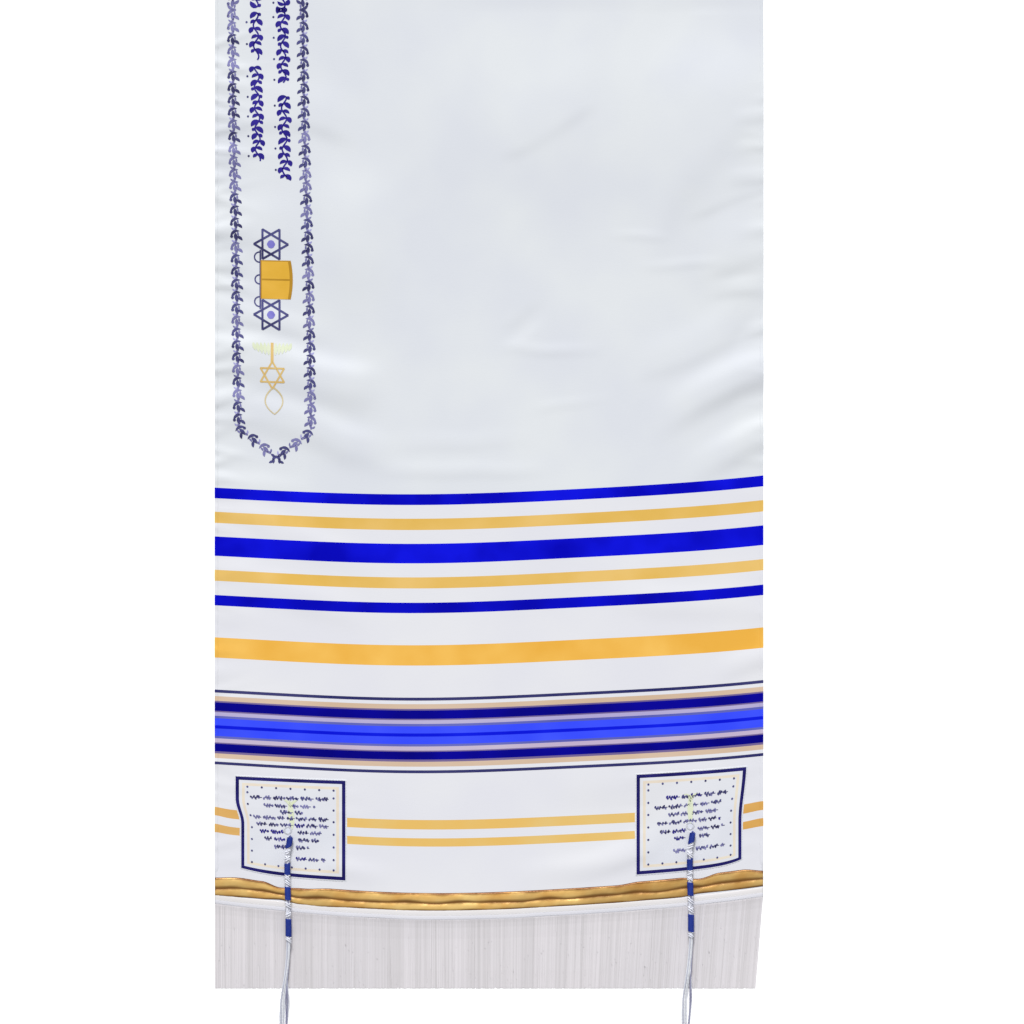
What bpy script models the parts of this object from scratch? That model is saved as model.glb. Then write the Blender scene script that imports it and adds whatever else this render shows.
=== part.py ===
# A tallit prayer shawl laid out flat, face up: one satin panel, a gold ribbon, a heading tape
# and a fringe across each end, and four corner patches, each with an eyelet and a tassel.
# Metres, +Z up. X runs across the shawl from its neck edge, Y along it, and it rests on Z = 0.
# "across" is X, "along" is the signed distance from mid-length measured on the cloth.

import math
from collections import namedtuple

import bmesh
import bpy
from mathutils import Vector

# Driving sizes
CLOTH_WIDTH = 0.560
CLOTH_LENGTH = 1.843
OVERALL_LENGTH = 2.000
CLOTH_WALL = 0.0020
TRIM_WALL = 0.0012
SEAM_GAP = 0.0003

RIBBON_WIDTH = 0.0190
TAPE_WIDTH = 0.0095
FRINGE_TAPER = 0.0080  # how much the loose threads draw in from the edge away from the neck

PATCH_WIDTH = 0.1165
PATCH_INNER_HEIGHT = 0.1060
PATCH_OUTER_HEIGHT = 0.0980
PATCH_ACROSS = {"neck": 0.2030, "free": 0.2062}
PATCH_ALONG = 0.8348  # the middle of its inner side

EYELET_ACROSS = 0.2055
EYELET_ALONG = 0.8390
EYELET_RADIUS = 0.0043
EYELET_WIRE = 0.0008

TASSEL_DIAMETER = 0.0060
TASSEL_STEP = 0.0130

# Mesh counts
COLUMNS = 18
PATCH_CELLS = 5

HALF_WIDTH = CLOTH_WIDTH / 2
HALF_CLOTH = CLOTH_LENGTH / 2
HALF_LENGTH = OVERALL_LENGTH / 2
TRIM_BASE = CLOTH_WALL + SEAM_GAP
TAPE_START = HALF_CLOTH - TAPE_WIDTH
RIBBON_END = TAPE_START - SEAM_GAP
RIBBON_START = RIBBON_END - RIBBON_WIDTH
PATCH_TOP = TRIM_BASE + TRIM_WALL

# The cross threads bow outwards at both ends of the cloth. depth is how far a thread at this
# distance from mid-length would fall over half the width, shift where its outermost place is,
# as a share of the half width towards the neck edge.
Bow = namedtuple("Bow", "distance depth shift")
BOWS = (
    Bow(0.000, 0.0000, 0.30),
    Bow(0.450, 0.0115, 0.30),
    Bow(0.760, 0.0117, 0.23),
    Bow(0.830, 0.0140, 0.13),
    Bow(0.890, 0.0190, 0.12),
    Bow(1.000, 0.0195, 0.12),
)

# Rows of faces along half the panel, closest together where the folds are.
Zone = namedtuple("Zone", "rows end")
ZONES = (
    Zone(2, 0.070),
    Zone(20, 0.490),
    Zone(9, HALF_CLOTH),
)

# The largest folds: low soft ridges. rise is the angle in degrees by which a ridge turns
# towards mid-length on its way to the edge away from the neck.
Fold = namedtuple("Fold", "across distance rise length width height")
FOLDS = (
    Fold(0.236, 0.386, 22, 0.150, 0.045, 0.0065),
    Fold(0.254, 0.442, 24, 0.120, 0.040, 0.0045),
    Fold(0.254, 0.241, 22, 0.110, 0.040, 0.0040),
    Fold(0.246, 0.301, 18, 0.110, 0.045, 0.0035),
    Fold(0.231, 0.128, 38, 0.160, 0.060, 0.0040),
    Fold(-0.183, 0.364, -13, 0.170, 0.045, 0.0050),
    Fold(-0.198, 0.433, -11, 0.180, 0.044, 0.0045),
    Fold(-0.249, 0.470, -12, 0.100, 0.038, 0.0030),
    Fold(-0.244, 0.210, -14, 0.100, 0.045, 0.0035),
)
FOLD_FLOOR = 0.0004  # lower parts of the folds lie flat

# A tassel's route from its eyelet: drift towards the free edge, reach outwards, and height.
Stop = namedtuple("Stop", "drift reach height")
TASSEL_ROUTE = (
    Stop(0.0000, EYELET_RADIUS + EYELET_WIRE + SEAM_GAP, 0.0071),
    Stop(0.0000, 0.0130, 0.0070),
    Stop(-0.0003, 0.0260, 0.0069),
    Stop(-0.0004, 0.0420, 0.0069),
    Stop(0.0000, 0.0600, 0.0070),
    Stop(0.0005, 0.0780, 0.0071),
    Stop(0.0008, 0.0960, 0.0064),
    Stop(0.0008, 0.1140, 0.0057),
    Stop(0.0003, 0.1320, 0.0056),
    Stop(-0.0008, 0.1500, 0.0056),
    Stop(-0.0024, 0.1670, 0.0050),
    Stop(-0.0040, 0.1840, 0.0041),
    Stop(-0.0058, 0.2040, 0.0034),
    Stop(-0.0070, 0.2280, 0.0033),
    Stop(-0.0074, 0.2540, 0.0033),
    Stop(-0.0070, 0.2780, 0.0033),
    Stop(-0.0062, 0.3000, 0.0033),
)

ENDS = {"shown": -1, "hidden": 1}
SIDES = {"neck": -1, "free": 1}


def start_collection():
    for thing in list(bpy.data.objects):
        bpy.data.objects.remove(thing)
    collection = bpy.data.collections.new("tallit_prayer_shawl")
    bpy.context.scene.collection.children.link(collection)
    return collection


def make_material(name, colour, roughness, metallic=0.0):
    look = bpy.data.materials.new(name)
    look.use_nodes = True
    shader = look.node_tree.nodes["Principled BSDF"]
    shader.inputs["Base Color"].default_value = (*colour, 1.0)
    shader.inputs["Roughness"].default_value = roughness
    shader.inputs["Metallic"].default_value = metallic
    return look


def add_piece(collection, name, data, look):
    piece = bpy.data.objects.new(name, data)
    piece.data.materials.append(look)
    collection.objects.link(piece)
    return piece


def between(low, high, share):
    return low + (high - low) * share


def bow_at(distance):
    """Depth and shift of the bow at a distance from mid-length."""
    for near, far in zip(BOWS, BOWS[1:]):
        if distance <= far.distance:
            share = (distance - near.distance) / (far.distance - near.distance)
            return between(near.depth, far.depth, share), between(near.shift, far.shift, share)
    return BOWS[-1].depth, BOWS[-1].shift


def cloth_place(across, along):
    """Where a point of the cloth lies on the floor, moved by the bow of its cross thread."""
    depth, shift = bow_at(abs(along))
    middle = 1 / 3 + shift**2
    outwards = depth * (middle - (across / HALF_WIDTH + shift) ** 2)
    return across, along + math.copysign(1, along) * outwards


def fold_height(across, along):
    """How far the folds lift the cloth off the floor."""
    height = 0.0
    for fold in FOLDS:
        turn = math.radians(fold.rise)
        right = across - fold.across
        down = abs(along) - fold.distance
        lengthwise = (right * math.cos(turn) - down * math.sin(turn)) / (fold.length / 2)
        sideways = (right * math.sin(turn) + down * math.cos(turn)) / (fold.width / 2)
        height += fold.height * math.exp(-(lengthwise**2) - sideways**2)
    return max(0.0, height - FOLD_FLOOR)


def add_cloth(collection, name, cells, place, wall, look):
    """A wall of cloth over place(right, out), where right and out are shares from 0 to 1."""
    columns, rows = cells
    net = bmesh.new()
    bmesh.ops.create_grid(net, x_segments=columns, y_segments=rows, size=1)
    for corner in net.verts:
        corner.co = place((corner.co.x + 1) / 2, (corner.co.y + 1) / 2)
    net.normal_update()
    upside_down = [face for face in net.faces if face.normal.z < 0]
    bmesh.ops.reverse_faces(net, faces=upside_down)
    data = bpy.data.meshes.new(name)
    net.to_mesh(data)
    net.free()
    piece = add_piece(collection, name, data, look)
    thickness = piece.modifiers.new("wall", "SOLIDIFY")
    thickness.thickness = wall
    thickness.offset = 1
    return piece


def panel_rows():
    """Signed distances from mid-length of every row of the panel's corners."""
    outwards = [0.0]
    for zone in ZONES:
        start = outwards[-1]
        outwards += [between(start, zone.end, step / zone.rows) for step in range(1, zone.rows + 1)]
    return [-distance for distance in reversed(outwards[1:])] + outwards


def make_panel(collection):
    rows = panel_rows()

    def place(right, out):
        across = between(-HALF_WIDTH, HALF_WIDTH, right)
        along = rows[round(out * (len(rows) - 1))]
        return Vector((*cloth_place(across, along), fold_height(across, along)))

    look = make_material("white_satin", (0.80, 0.82, 0.86), 0.38)
    add_cloth(collection, "shawl_panel", (COLUMNS, len(rows) - 1), place, CLOTH_WALL, look)


def make_strip(collection, name, end, start, stop, look):
    """A strip sewn over the panel from edge to edge, at a distance start to stop from mid-length."""

    def place(right, out):
        across = between(-HALF_WIDTH, HALF_WIDTH, right)
        along = end * between(start, stop, out)
        return Vector((*cloth_place(across, along), TRIM_BASE))

    add_cloth(collection, name, (COLUMNS, 1), place, TRIM_WALL, look)


def make_fringe(collection, name, end, look):
    """The reach of the loose threads, from the cloth's cut end to one straight line."""

    def place(right, out):
        across = between(-HALF_WIDTH, HALF_WIDTH, right)
        root = Vector((*cloth_place(across, end * (HALF_CLOTH + SEAM_GAP)), 0.0))
        drawn_in = FRINGE_TAPER * max(0.0, right - 0.5) * 2
        tip = Vector((across - drawn_in, end * HALF_LENGTH, 0.0))
        return root.lerp(tip, out)

    add_cloth(collection, name, (COLUMNS, 1), place, CLOTH_WALL, look)


def make_patch(collection, name, end, side, look):
    def place(right, out):
        inner_share = 1 - right if side > 0 else right
        height = between(PATCH_OUTER_HEIGHT, PATCH_INNER_HEIGHT, inner_share)
        middle = side * PATCH_ACROSS["free" if side > 0 else "neck"]
        across = middle + (right - 0.5) * PATCH_WIDTH
        along = end * (PATCH_ALONG - PATCH_INNER_HEIGHT / 2 + out * height)
        return Vector((*cloth_place(across, along), TRIM_BASE))

    add_cloth(collection, name, (PATCH_CELLS, PATCH_CELLS), place, TRIM_WALL, look)


def eyelet_place(end, side):
    return cloth_place(side * EYELET_ACROSS, end * EYELET_ALONG)


def make_eyelet(collection, name, end, side, look):
    bpy.ops.mesh.primitive_torus_add(
        major_radius=EYELET_RADIUS,
        minor_radius=EYELET_WIRE,
        major_segments=20,
        minor_segments=6,
        location=(*eyelet_place(end, side), PATCH_TOP + SEAM_GAP + EYELET_WIRE),
    )
    ring = bpy.context.object
    ring.name = name
    ring.data.materials.append(look)
    ring.users_collection[0].objects.unlink(ring)
    collection.objects.link(ring)


def smooth_points(stops):
    """Points along the Catmull-Rom curve through the stops."""
    padded = [stops[0] * 2 - stops[1], *stops, stops[-1] * 2 - stops[-2]]
    points = [stops[0]]
    for before, start, stop, after in zip(padded, padded[1:], padded[2:], padded[3:]):
        count = max(1, round((stop - start).length / TASSEL_STEP))
        for index in range(1, count + 1):
            t = index / count
            straight = start * 2 + (stop - before) * t
            bend = (before * 2 - start * 5 + stop * 4 - after) * t**2
            twist = (start * 3 - before - stop * 3 + after) * t**3
            points.append((straight + bend + twist) / 2)
    return points


def make_tassel(collection, name, end, side, look):
    """The wound and knotted strings as one plain tube, from the eyelet out past the fringe."""
    x, y = eyelet_place(end, side)
    stops = [Vector((x + stop.drift, y + end * stop.reach, stop.height)) for stop in TASSEL_ROUTE]
    points = smooth_points(stops)
    data = bpy.data.curves.new(name, "CURVE")
    data.dimensions = "3D"
    data.bevel_depth = TASSEL_DIAMETER / 2
    data.bevel_resolution = 2
    data.use_fill_caps = True
    line = data.splines.new("POLY")
    line.points.add(len(points) - 1)
    for place, point in zip(line.points, points):
        place.co = (*point, 1.0)
    add_piece(collection, name, data, look)


def make_shawl():
    collection = start_collection()
    make_panel(collection)
    for end_name, end in ENDS.items():
        gold = make_material("gold_ribbon_" + end_name, (0.62, 0.38, 0.07), 0.35, 0.7)
        white = make_material("white_tape_" + end_name, (0.82, 0.81, 0.83), 0.8)
        threads = make_material("fringe_threads_" + end_name, (0.72, 0.70, 0.71), 0.9)
        make_strip(collection, "gold_ribbon_" + end_name, end, RIBBON_START, RIBBON_END, gold)
        make_strip(collection, "end_tape_" + end_name, end, TAPE_START, HALF_CLOTH, white)
        make_fringe(collection, "fringe_" + end_name, end, threads)
        for side_name, side in SIDES.items():
            corner = end_name + "_" + side_name
            printed = make_material("printed_satin_" + corner, (0.78, 0.80, 0.87), 0.5)
            stitches = make_material("white_stitches_" + corner, (0.85, 0.85, 0.86), 0.8)
            strings = make_material("tassel_strings_" + corner, (0.45, 0.48, 0.66), 0.85)
            make_patch(collection, "corner_patch_" + corner, end, side, printed)
            make_eyelet(collection, "eyelet_" + corner, end, side, stitches)
            make_tassel(collection, "tzitzit_" + corner, end, side, strings)


make_shawl()
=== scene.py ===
import math
import random

import bpy
import numpy as np
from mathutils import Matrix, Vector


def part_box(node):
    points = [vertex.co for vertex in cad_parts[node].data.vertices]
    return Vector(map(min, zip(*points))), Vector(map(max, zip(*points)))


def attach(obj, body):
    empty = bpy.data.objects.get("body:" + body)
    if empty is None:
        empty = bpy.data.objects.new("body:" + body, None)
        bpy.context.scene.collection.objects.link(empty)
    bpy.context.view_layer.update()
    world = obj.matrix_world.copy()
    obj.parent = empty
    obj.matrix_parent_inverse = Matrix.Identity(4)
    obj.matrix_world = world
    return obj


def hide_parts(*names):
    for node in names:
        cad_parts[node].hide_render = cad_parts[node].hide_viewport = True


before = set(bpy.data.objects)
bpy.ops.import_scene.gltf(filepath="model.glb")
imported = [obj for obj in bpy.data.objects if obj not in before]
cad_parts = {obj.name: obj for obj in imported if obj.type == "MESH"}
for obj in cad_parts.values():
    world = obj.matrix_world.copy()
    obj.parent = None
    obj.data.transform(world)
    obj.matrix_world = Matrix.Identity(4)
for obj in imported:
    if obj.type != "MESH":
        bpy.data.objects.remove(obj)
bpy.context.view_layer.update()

ends = {"shown": -1, "hidden": 1}
sides = {"neck": -1, "free": 1}
sideNames = {side: name for name, side in sides.items()}
fourCorners = [(f"{end}_{side}", ends[end], sides[side]) for end in ends for side in sides]

# How the cloth lies. across is x, along is the signed distance from mid-length on the cloth,
# and distance is along without its sign. All sizes are in metres, apart from the creases' own.

shawl = {
    "halfWidth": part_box("end_tape_shown")[1][0],
    "halfCloth": 0.9215,
    "halfLength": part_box("fringe_hidden")[1][1],
    "top": 0.0020,  # upper face where the cloth lies flat
    "wall": 0.0009,
    "foldStep": 0.0033,  # rows between mid-length and the stripes
    "stripeStep": 0.0050,
    "hiddenStep": 0.0064,
    "columnStep": 0.0061,
    "edgeStep": 0.0028,
    "edgeReach": 0.034,
    "printStep": 0.0034,
    "printEdge": -0.170,  # the printed band lies between this and the neck edge
    "patchesEnd": 0.246,  # under the outer edge of each patch
}

bow = {  # how far the cross threads sag outwards, by distance
    "distance": (0.0, 0.450, 0.760, 0.830, 0.890, 1.0),
    "depth": (0.0, 0.0115, 0.0117, 0.0140, 0.0190, 0.0195),
    "shift": (0.30, 0.30, 0.23, 0.13, 0.12, 0.12),
    "sway": 0.0009,  # a slight wave of the same threads
    "swayLength": 0.35,
    "swayShift": 0.08,
    "swayFrom": 0.40,  # it grows from here, over this length
    "swayOver": 0.15,
}

tucks = [  # where the cross threads are drawn up beside a patch: across, distance, width, length, depth
    (-0.281, 0.834, 0.012, 0.022, 0.0024),
    (0.279, 0.834, 0.015, 0.022, 0.0022),
]

swells = [  # across, distance on the table, width, length, height
    (0.060, 0.110, 0.140, 0.090, 0.0032),
    (0.250, 0.255, 0.050, 0.042, 0.0016),
]

# Each crease follows a crest from the neck side to the free side. Before it come the widths of
# its two sides, towards mid-length and away from it.

creases = [  # inner width, outer width, crest: across, distance on the table, height, all in millimetres
    (19, 16.5, [(160, 428, 0), (178, 418, 0.5), (195, 407, 1.5), (216, 395, 2.9), (236, 385, 3.7),
                (257, 375, 4.1), (285, 365, 4.2)]),
    (15, 16.5, [(196, 472, 0), (216, 463, 0.8), (236, 453, 1.9), (257, 442.5, 2.9), (285, 431, 2.9)]),
    (23, 13, [(148, 367, 0), (175, 361, 0.8), (205, 350, 1.2), (236, 333, 1.3), (257, 311, 0.8),
              (275, 296, 0)]),
    (60, 120, [(110, 96, 0), (160, 100, 1.4), (210, 104, 3.4), (245, 105, 4.4), (265, 105, 3.8),
               (285, 105, 2.8)]),
    (80, 30, [(165, 200, 0), (180, 179, 1.2), (205, 148, 2), (236, 118, 1.8), (285, 96, 0.6)]),
    (7, 7, [(246, 112, 0), (262, 109, 0.5), (285, 106, 0.8)]),
    (6, 6.5, [(246, 144, 0), (262, 141, 0.4), (285, 138, 0.6)]),
    (7, 8, [(240, 172, 0), (260, 170, 0.6), (285, 168, 0.8)]),
    (40, 7.5, [(200, 209, 0), (222, 200, 0.9), (246, 191, 0.7), (285, 178, 0.4)]),
    (8, 7, [(250, 229, 0), (285, 223, 0.6)]),
    (45, 15, [(205, 268, 0), (226, 262, 0.6), (240, 258, 1.8), (254, 253, 1.9), (285, 244, 1.4)]),
    (9, 8.5, [(220, 288, 0), (245, 284, 0.9), (285, 277, 0.9)]),
    (6, 7, [(255, 328, 0), (270, 326, 0.6), (285, 323, 1)]),
    (50, 10, [(10, 142, 0), (28, 139, 0.8), (57, 123, 0.6), (83, 105, 1), (101, 95, 0.6), (114, 89, 0)]),
    (4.5, 4.2, [(120, 229, 0), (144, 230, 0.3), (165, 232, 0.4), (184, 234, 0)]),
    (5, 5, [(150, 261, 0), (175, 261, 0.3), (215, 259, 0.4), (246, 257, 0)]),
    (9, 8, [(14, 332, 0), (27, 330, -0.7), (42, 318, -0.7), (58, 306, 0)]),
    (6, 5.5, [(10, 345, 0), (28, 345, 0.3), (60, 349, 0.5), (95, 347, 0.3), (120, 346, 0)]),
    (5, 5.5, [(40, 410, 0), (67, 404, 0.3), (95, 400, 0.2), (130, 397, 0)]),
    (8, 7, [(-120, 471, 0), (-70, 471, 0.5), (10, 471, 0.5), (70, 470, 0)]),
    (10, 7, [(-110, 444, 0), (-50, 443, 0.4), (0, 441, 0.3), (50, 438, 0)]),
    (18, 27, [(-290, 342, 2), (-254, 350, 2.9), (-225, 357, 3.1), (-203, 364, 3.6), (-173, 373, 4),
              (-152, 378, 3.7), (-134, 380, 2.9), (-118, 381, 1.2), (-102, 383, 0)]),
    (30, 14, [(-285, 108, 0.6), (-250, 110, 0.8), (-210, 108, 1.2), (-183, 110, 1.5), (-165, 114, 1.7),
              (-146, 122, 0.7), (-130, 130, 0)]),
    (16, 20, [(-290, 402, 0.8), (-249, 407, 1.8), (-203, 417, 2.3), (-173, 428, 2.5), (-147, 440, 2.3),
              (-121, 447, 1.3), (-95, 455, 0)]),
    (12, 11, [(-290, 486, 1), (-224, 488, 0.9), (-180, 493, 0)]),
    (26, 24, [(-290, 224, 0.4), (-244, 222, 1.4), (-210, 219, 1), (-185, 220, 0)]),
    (55, 65, [(-200, 214, 0), (-175, 221, 1.8), (-150, 226, 3.2), (-125, 228, 2.8), (-100, 230, 1.2),
              (-75, 232, 0)]),
    (11, 10, [(-290, 306, 1.2), (-254, 311, 1.4), (-224, 317, 1.4), (-193, 325, 0.9), (-160, 334, 0)]),
    (10, 8, [(-285, 80, 1.4), (-262, 82, 0.7), (-240, 85, 0)]),
    (10, 9, [(-285, 149, 0.4), (-262, 147, 0.5), (-235, 144, 0)]),
    (10, 11, [(-285, 224, 1.6), (-262, 224, 1), (-235, 222, 0)]),
    (8, 8, [(-285, 258, 1.4), (-262, 257, 1), (-240, 256, 0)]),
    (14, 14, [(-290, 512, 0.4), (-244, 518, 0.9), (-203, 536, 1), (-157, 554, 0.8), (-115, 565, 0)]),
    (15, 15, [(-290, 568, 0.8), (-249, 579, 0.9), (-203, 595, 1), (-157, 610, 0.8), (-120, 621, 0)]),
    (15, 14, [(120, 601, 0), (154, 603, 0.7), (185, 605, 0.9), (226, 607, 0.8), (285, 609, 0.4)]),
    (11, 10, [(226, 677, 0), (256, 668, 1), (285, 658, 1.4)]),
    (30, 28, [(50, 776, 0), (88, 782, 1), (124, 779, 1.4), (159, 771, 1.2), (215, 763, 0)]),
    (16, 10, [(20, 892, 0), (75, 884, 1.2), (110, 878, 1.6), (135, 868, 1.8), (155, 858, 1.2),
              (178, 849, 0)]),
    (13, 10, [(-175, 876, 0), (-150, 880, 1), (-125, 887, 1), (-95, 895, 0)]),
]

creaseShape = {
    "power": 2.8,  # flat-topped with a sharper foot
    "wander": 0.0011,
    "wanderPitch": 0.090,
    "step": 0.006,
}

puckers = {  # small gathers that run in from the long edges
    "neck": {"count": 66, "from": 0.030, "to": 0.900, "height": 0.0017, "reach": 0.025},
    "free": {"count": 34, "from": 0.060, "to": 0.900, "height": 0.0006, "reach": 0.020},
    "fullTo": 0.49,  # they are lower in the striped cloth
    "striped": 0.55,
    "lean": 0.35,
    "power": 1.6,
}

flatEnd = {"from": 0.872, "over": 0.020, "share": 0.85}  # the cloth is pressed flat under the ribbon

patch = {
    "across": {"neck": 0.2028, "free": 0.2068},
    "along": 0.8348,
    "eyeletAcross": 0.2055,
    "eyeletAlong": 0.8390,
    "halfWidth": 0.0580,
    "halfHeight": 0.0527,
    "pullIn": {"neck": 0.0060, "free": 0.0052},  # the outer low corner is drawn towards the middle
    "pullUp": {"neck": 0.0058, "free": 0.0062},
    "pullBend": {"neck": 4, "free": 7},
    "wall": 0.0003,
    "lift": 0.0003,
    "liftReach": 0.0015,
    "sunk": 0.00005,  # the sewn edge sits in the cloth a little
    "printAbove": 0.00022,
    "puff": 0.0006,
    "rings": (0.0019, 0.0054, 0.0085, 0.0113),  # margin, border, gap and line, in from the edge
    "cell": 0.0027,
    "gather": 0.0003,  # of the cloth round the patch
    "gatherPitch": 0.019,
    "gatherReach": 0.009,
    "roll": (0.00012, 0.0026, 0.0014),  # height, place and reach of the rolled edge
    "edgeGather": (0.00028, 0.0078, 0.006, 0.002),  # height, pitch, reach inwards and start at the edge
    "puffReach": 0.011,
    "puffPitch": 0.055,
    "pullFrom": {"neck": -0.027, "free": -0.054},  # the outer side is drawn in from here on
    "pullOver": {"neck": 0.027, "free": 0.060},
    "tilt": {"neck": 0.0020, "free": 0.0},
    "rowSlope": {"neck": -0.020, "free": -0.03},  # of the printed rows
}


def roundBump(across, along, width, length):
    # 1 in the middle, fading all round
    return np.exp(-((across / width) ** 2) - (along / length) ** 2)


def clothPoint(across, along):
    # where a point of the flat cloth lies on the table
    depth = np.interp(np.abs(along), bow["distance"], bow["depth"])
    shift = np.interp(np.abs(along), bow["distance"], bow["shift"])
    outwards = depth * (1 / 3 + shift**2 - (across / shawl["halfWidth"] + shift) ** 2)
    sway = bow["sway"] * np.clip((np.abs(along) - bow["swayFrom"]) / bow["swayOver"], 0, 1)
    outwards = outwards + sway * np.cos(2 * np.pi * (across + bow["swayShift"]) / bow["swayLength"])
    for x, distance, width, length, tuck in tucks:
        outwards = outwards - tuck * roundBump(across - x, np.abs(along) - distance, width, length)
    return across, along + np.sign(along) * outwards


def ripple(place, pitch, seed):
    # an uneven wave from -1 to 1 with about this pitch
    chance = random.Random(str(seed))
    total = 0
    for stretch, share in ((1.0, 0.5), (1.63, 0.3), (0.47, 0.2)):
        total = total + share * np.sin(2 * np.pi * place * stretch / pitch + chance.uniform(0, 6.3))
    return total


def sizedRipple(place, sizeAndPitch, seed):
    # a ripple from -size to size
    size, pitch = sizeAndPitch
    return size * ripple(place, pitch, seed)


def smoothLine(stops, step):
    # the rounded line through every stop
    stops = np.asarray(stops, float)
    padded = np.vstack([2 * stops[0] - stops[1], stops, 2 * stops[-1] - stops[-2]])
    points = [stops[0]]
    for before, start, stop, after in zip(padded, padded[1:], padded[2:], padded[3:]):
        count = max(1, round(float(np.linalg.norm(stop - start)) / step))
        for index in range(1, count + 1):
            share = index / count
            bend = (2 * before - 5 * start + 4 * stop - after) * share**2
            twist = (3 * start - before - 3 * stop + after) * share**3
            points.append((2 * start + (stop - before) * share + bend + twist) / 2)
    return np.array(points)


def creaseRows(end):
    # the hidden end has the same kinds of creases, a little moved and smaller
    chance = random.Random(12)
    rows = []
    for inner, outer, crest in creases:
        aside, down, smaller = 0, 0, 1
        if end > 0:
            aside, down = chance.uniform(-0.02, 0.02), chance.uniform(-0.02, 0.02)
            smaller = chance.uniform(0.6, 1.0)
        crest = [(x / 1000 + aside, y / 1000 + down, height / 1000 * smaller) for x, y, height in crest]
        rows.append((inner / 1000, outer / 1000, crest))
    return rows


def puckerRows(side, end):
    # distance, lean, half width, height and reach of every pucker along one long edge
    settings = puckers[side]
    chance = random.Random(f"{side}{end}")
    rows = []
    for index in range(settings["count"]):
        share = (index + chance.uniform(0.1, 0.9)) / settings["count"]
        distance = settings["from"] + share * (settings["to"] - settings["from"])
        narrow = chance.uniform(0.0030, 0.0068)
        height = settings["height"] * chance.uniform(0.25, 1.0)
        height *= 1.0 if distance < puckers["fullTo"] else puckers["striped"]
        reach = settings["reach"] * chance.uniform(0.4, 1.5)
        lean = chance.uniform(-puckers["lean"], puckers["lean"])
        rows.append((distance, lean, narrow, height, reach))
    return rows


def foldLift(across, distance, end):
    # how high the swells, creases and edge puckers raise the cloth
    lift = np.zeros_like(across)
    for x, y, width, length, height in swells:
        lift += height * roundBump(across - x, distance - y, width, length)
    for inner, outer, crest in creaseRows(end):
        line = smoothLine(crest, creaseShape["step"])
        middle, height = (np.interp(across, line[:, 0], line[:, part]) for part in (1, 2))
        lean = np.interp(across, line[:, 0], np.gradient(line[:, 1], line[:, 0]))
        middle = middle + creaseShape["wander"] * ripple(across, creaseShape["wanderPitch"], crest[0][1])
        aside = (distance - middle) / np.sqrt(1 + lean**2)
        width = np.where(aside < 0, inner, outer)
        lift += height * np.exp(-(np.abs(aside / width) ** creaseShape["power"]))
    for name, side in sides.items():
        inwards = shawl["halfWidth"] - side * across
        for middle, lean, narrow, height, reach in puckerRows(name, end):
            crest = (distance - middle - lean * inwards) / narrow
            lift += height * np.exp(-(crest**2) - (inwards / reach) ** puckers["power"])
    return lift


def patchGather(across, distance):
    # small puckers in the cloth round each sewn patch
    lift = np.zeros_like(across)
    for name, side in sides.items():
        overX = np.abs(across - side * patch["across"][name]) - patch["halfWidth"]
        overD = np.abs(distance - patch["along"]) - patch["halfHeight"]
        border = np.where(overX > overD, distance, across)
        away = np.abs(np.maximum(overX, overD))
        gather = 1 + ripple(border, patch["gatherPitch"], name)
        lift += patch["gather"] * gather * np.exp(-away / patch["gatherReach"])
    return lift


def clothLift(across, along):
    distance = np.abs(along)
    laid = np.abs(clothPoint(across, along)[1])
    lift = np.where(along < 0, foldLift(across, laid, -1), foldLift(across, laid, 1))
    pressed = flatEnd["share"] * np.clip((distance - flatEnd["from"]) / flatEnd["over"], 0, 1)
    return (lift + patchGather(across, distance)) * (1 - pressed)


def steps(marks, step):
    # every mark, with even lines between so that none is further apart than step
    lines = [marks[0]]
    for start, stop in zip(marks, marks[1:]):
        count = max(1, math.ceil((stop - start) / step - 1e-6))
        lines += [start + (stop - start) * index / count for index in range(1, count + 1)]
    return np.array(lines)


stripes = [  # from, to, yarn, by distance
    (0.4895, 0.5005, "royal"),
    (0.5144, 0.5259, "softGold"),
    (0.5399, 0.5599, "royal"),
    (0.5742, 0.5855, "softGold"),
    (0.6001, 0.6108, "deepRoyal"),
    (0.6436, 0.6644, "gold"),
    (0.6972, 0.7003, "navy"),
    (0.7039, 0.7087, "tan"),
    (0.7087, 0.7103, "dusk"),
    (0.7103, 0.7190, "darkBlue"),
    (0.7190, 0.7203, "dusk"),
    (0.7203, 0.7241, "lilac"),
    (0.7241, 0.7266, "duskBlue"),
    (0.7266, 0.7338, "brightBlue"),
    (0.7338, 0.7371, "midBlue"),
    (0.7371, 0.7448, "brightBlue"),
    (0.7448, 0.7472, "duskBlue"),
    (0.7472, 0.7514, "mauve"),
    (0.7514, 0.7526, "dusk"),
    (0.7526, 0.7606, "darkBlue"),
    (0.7606, 0.7628, "dusk"),
    (0.7628, 0.7678, "tan"),
    (0.7715, 0.7745, "navy"),
    (0.8221, 0.8317, "dullGold"),
    (0.8405, 0.8487, "dullGold"),
]


stripeEdges = sorted({edge for row in stripes for edge in row[:2]})


def panelColumns():
    half, reach = shawl["halfWidth"], shawl["edgeReach"]
    neckEdge = steps([-half, -half + reach], shawl["edgeStep"])
    printBand = steps([-half + reach, shawl["printEdge"]], shawl["printStep"])
    middle = steps([shawl["printEdge"], half - reach], shawl["columnStep"])
    freeEdge = steps([half - reach, half], shawl["edgeStep"])
    return np.concatenate([neckEdge, printBand[1:], middle[1:], freeEdge[1:]])


def panelRows():
    folds = steps([0.0, stripeEdges[0]], shawl["foldStep"])
    banded = steps([*stripeEdges, shawl["halfCloth"]], shawl["stripeStep"])
    hidden = steps([0.0, *stripeEdges, shawl["halfCloth"]], shawl["hiddenStep"])
    shown = np.concatenate([folds, banded[1:]])
    return np.concatenate([-shown[::-1], hidden[1:]])


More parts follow.
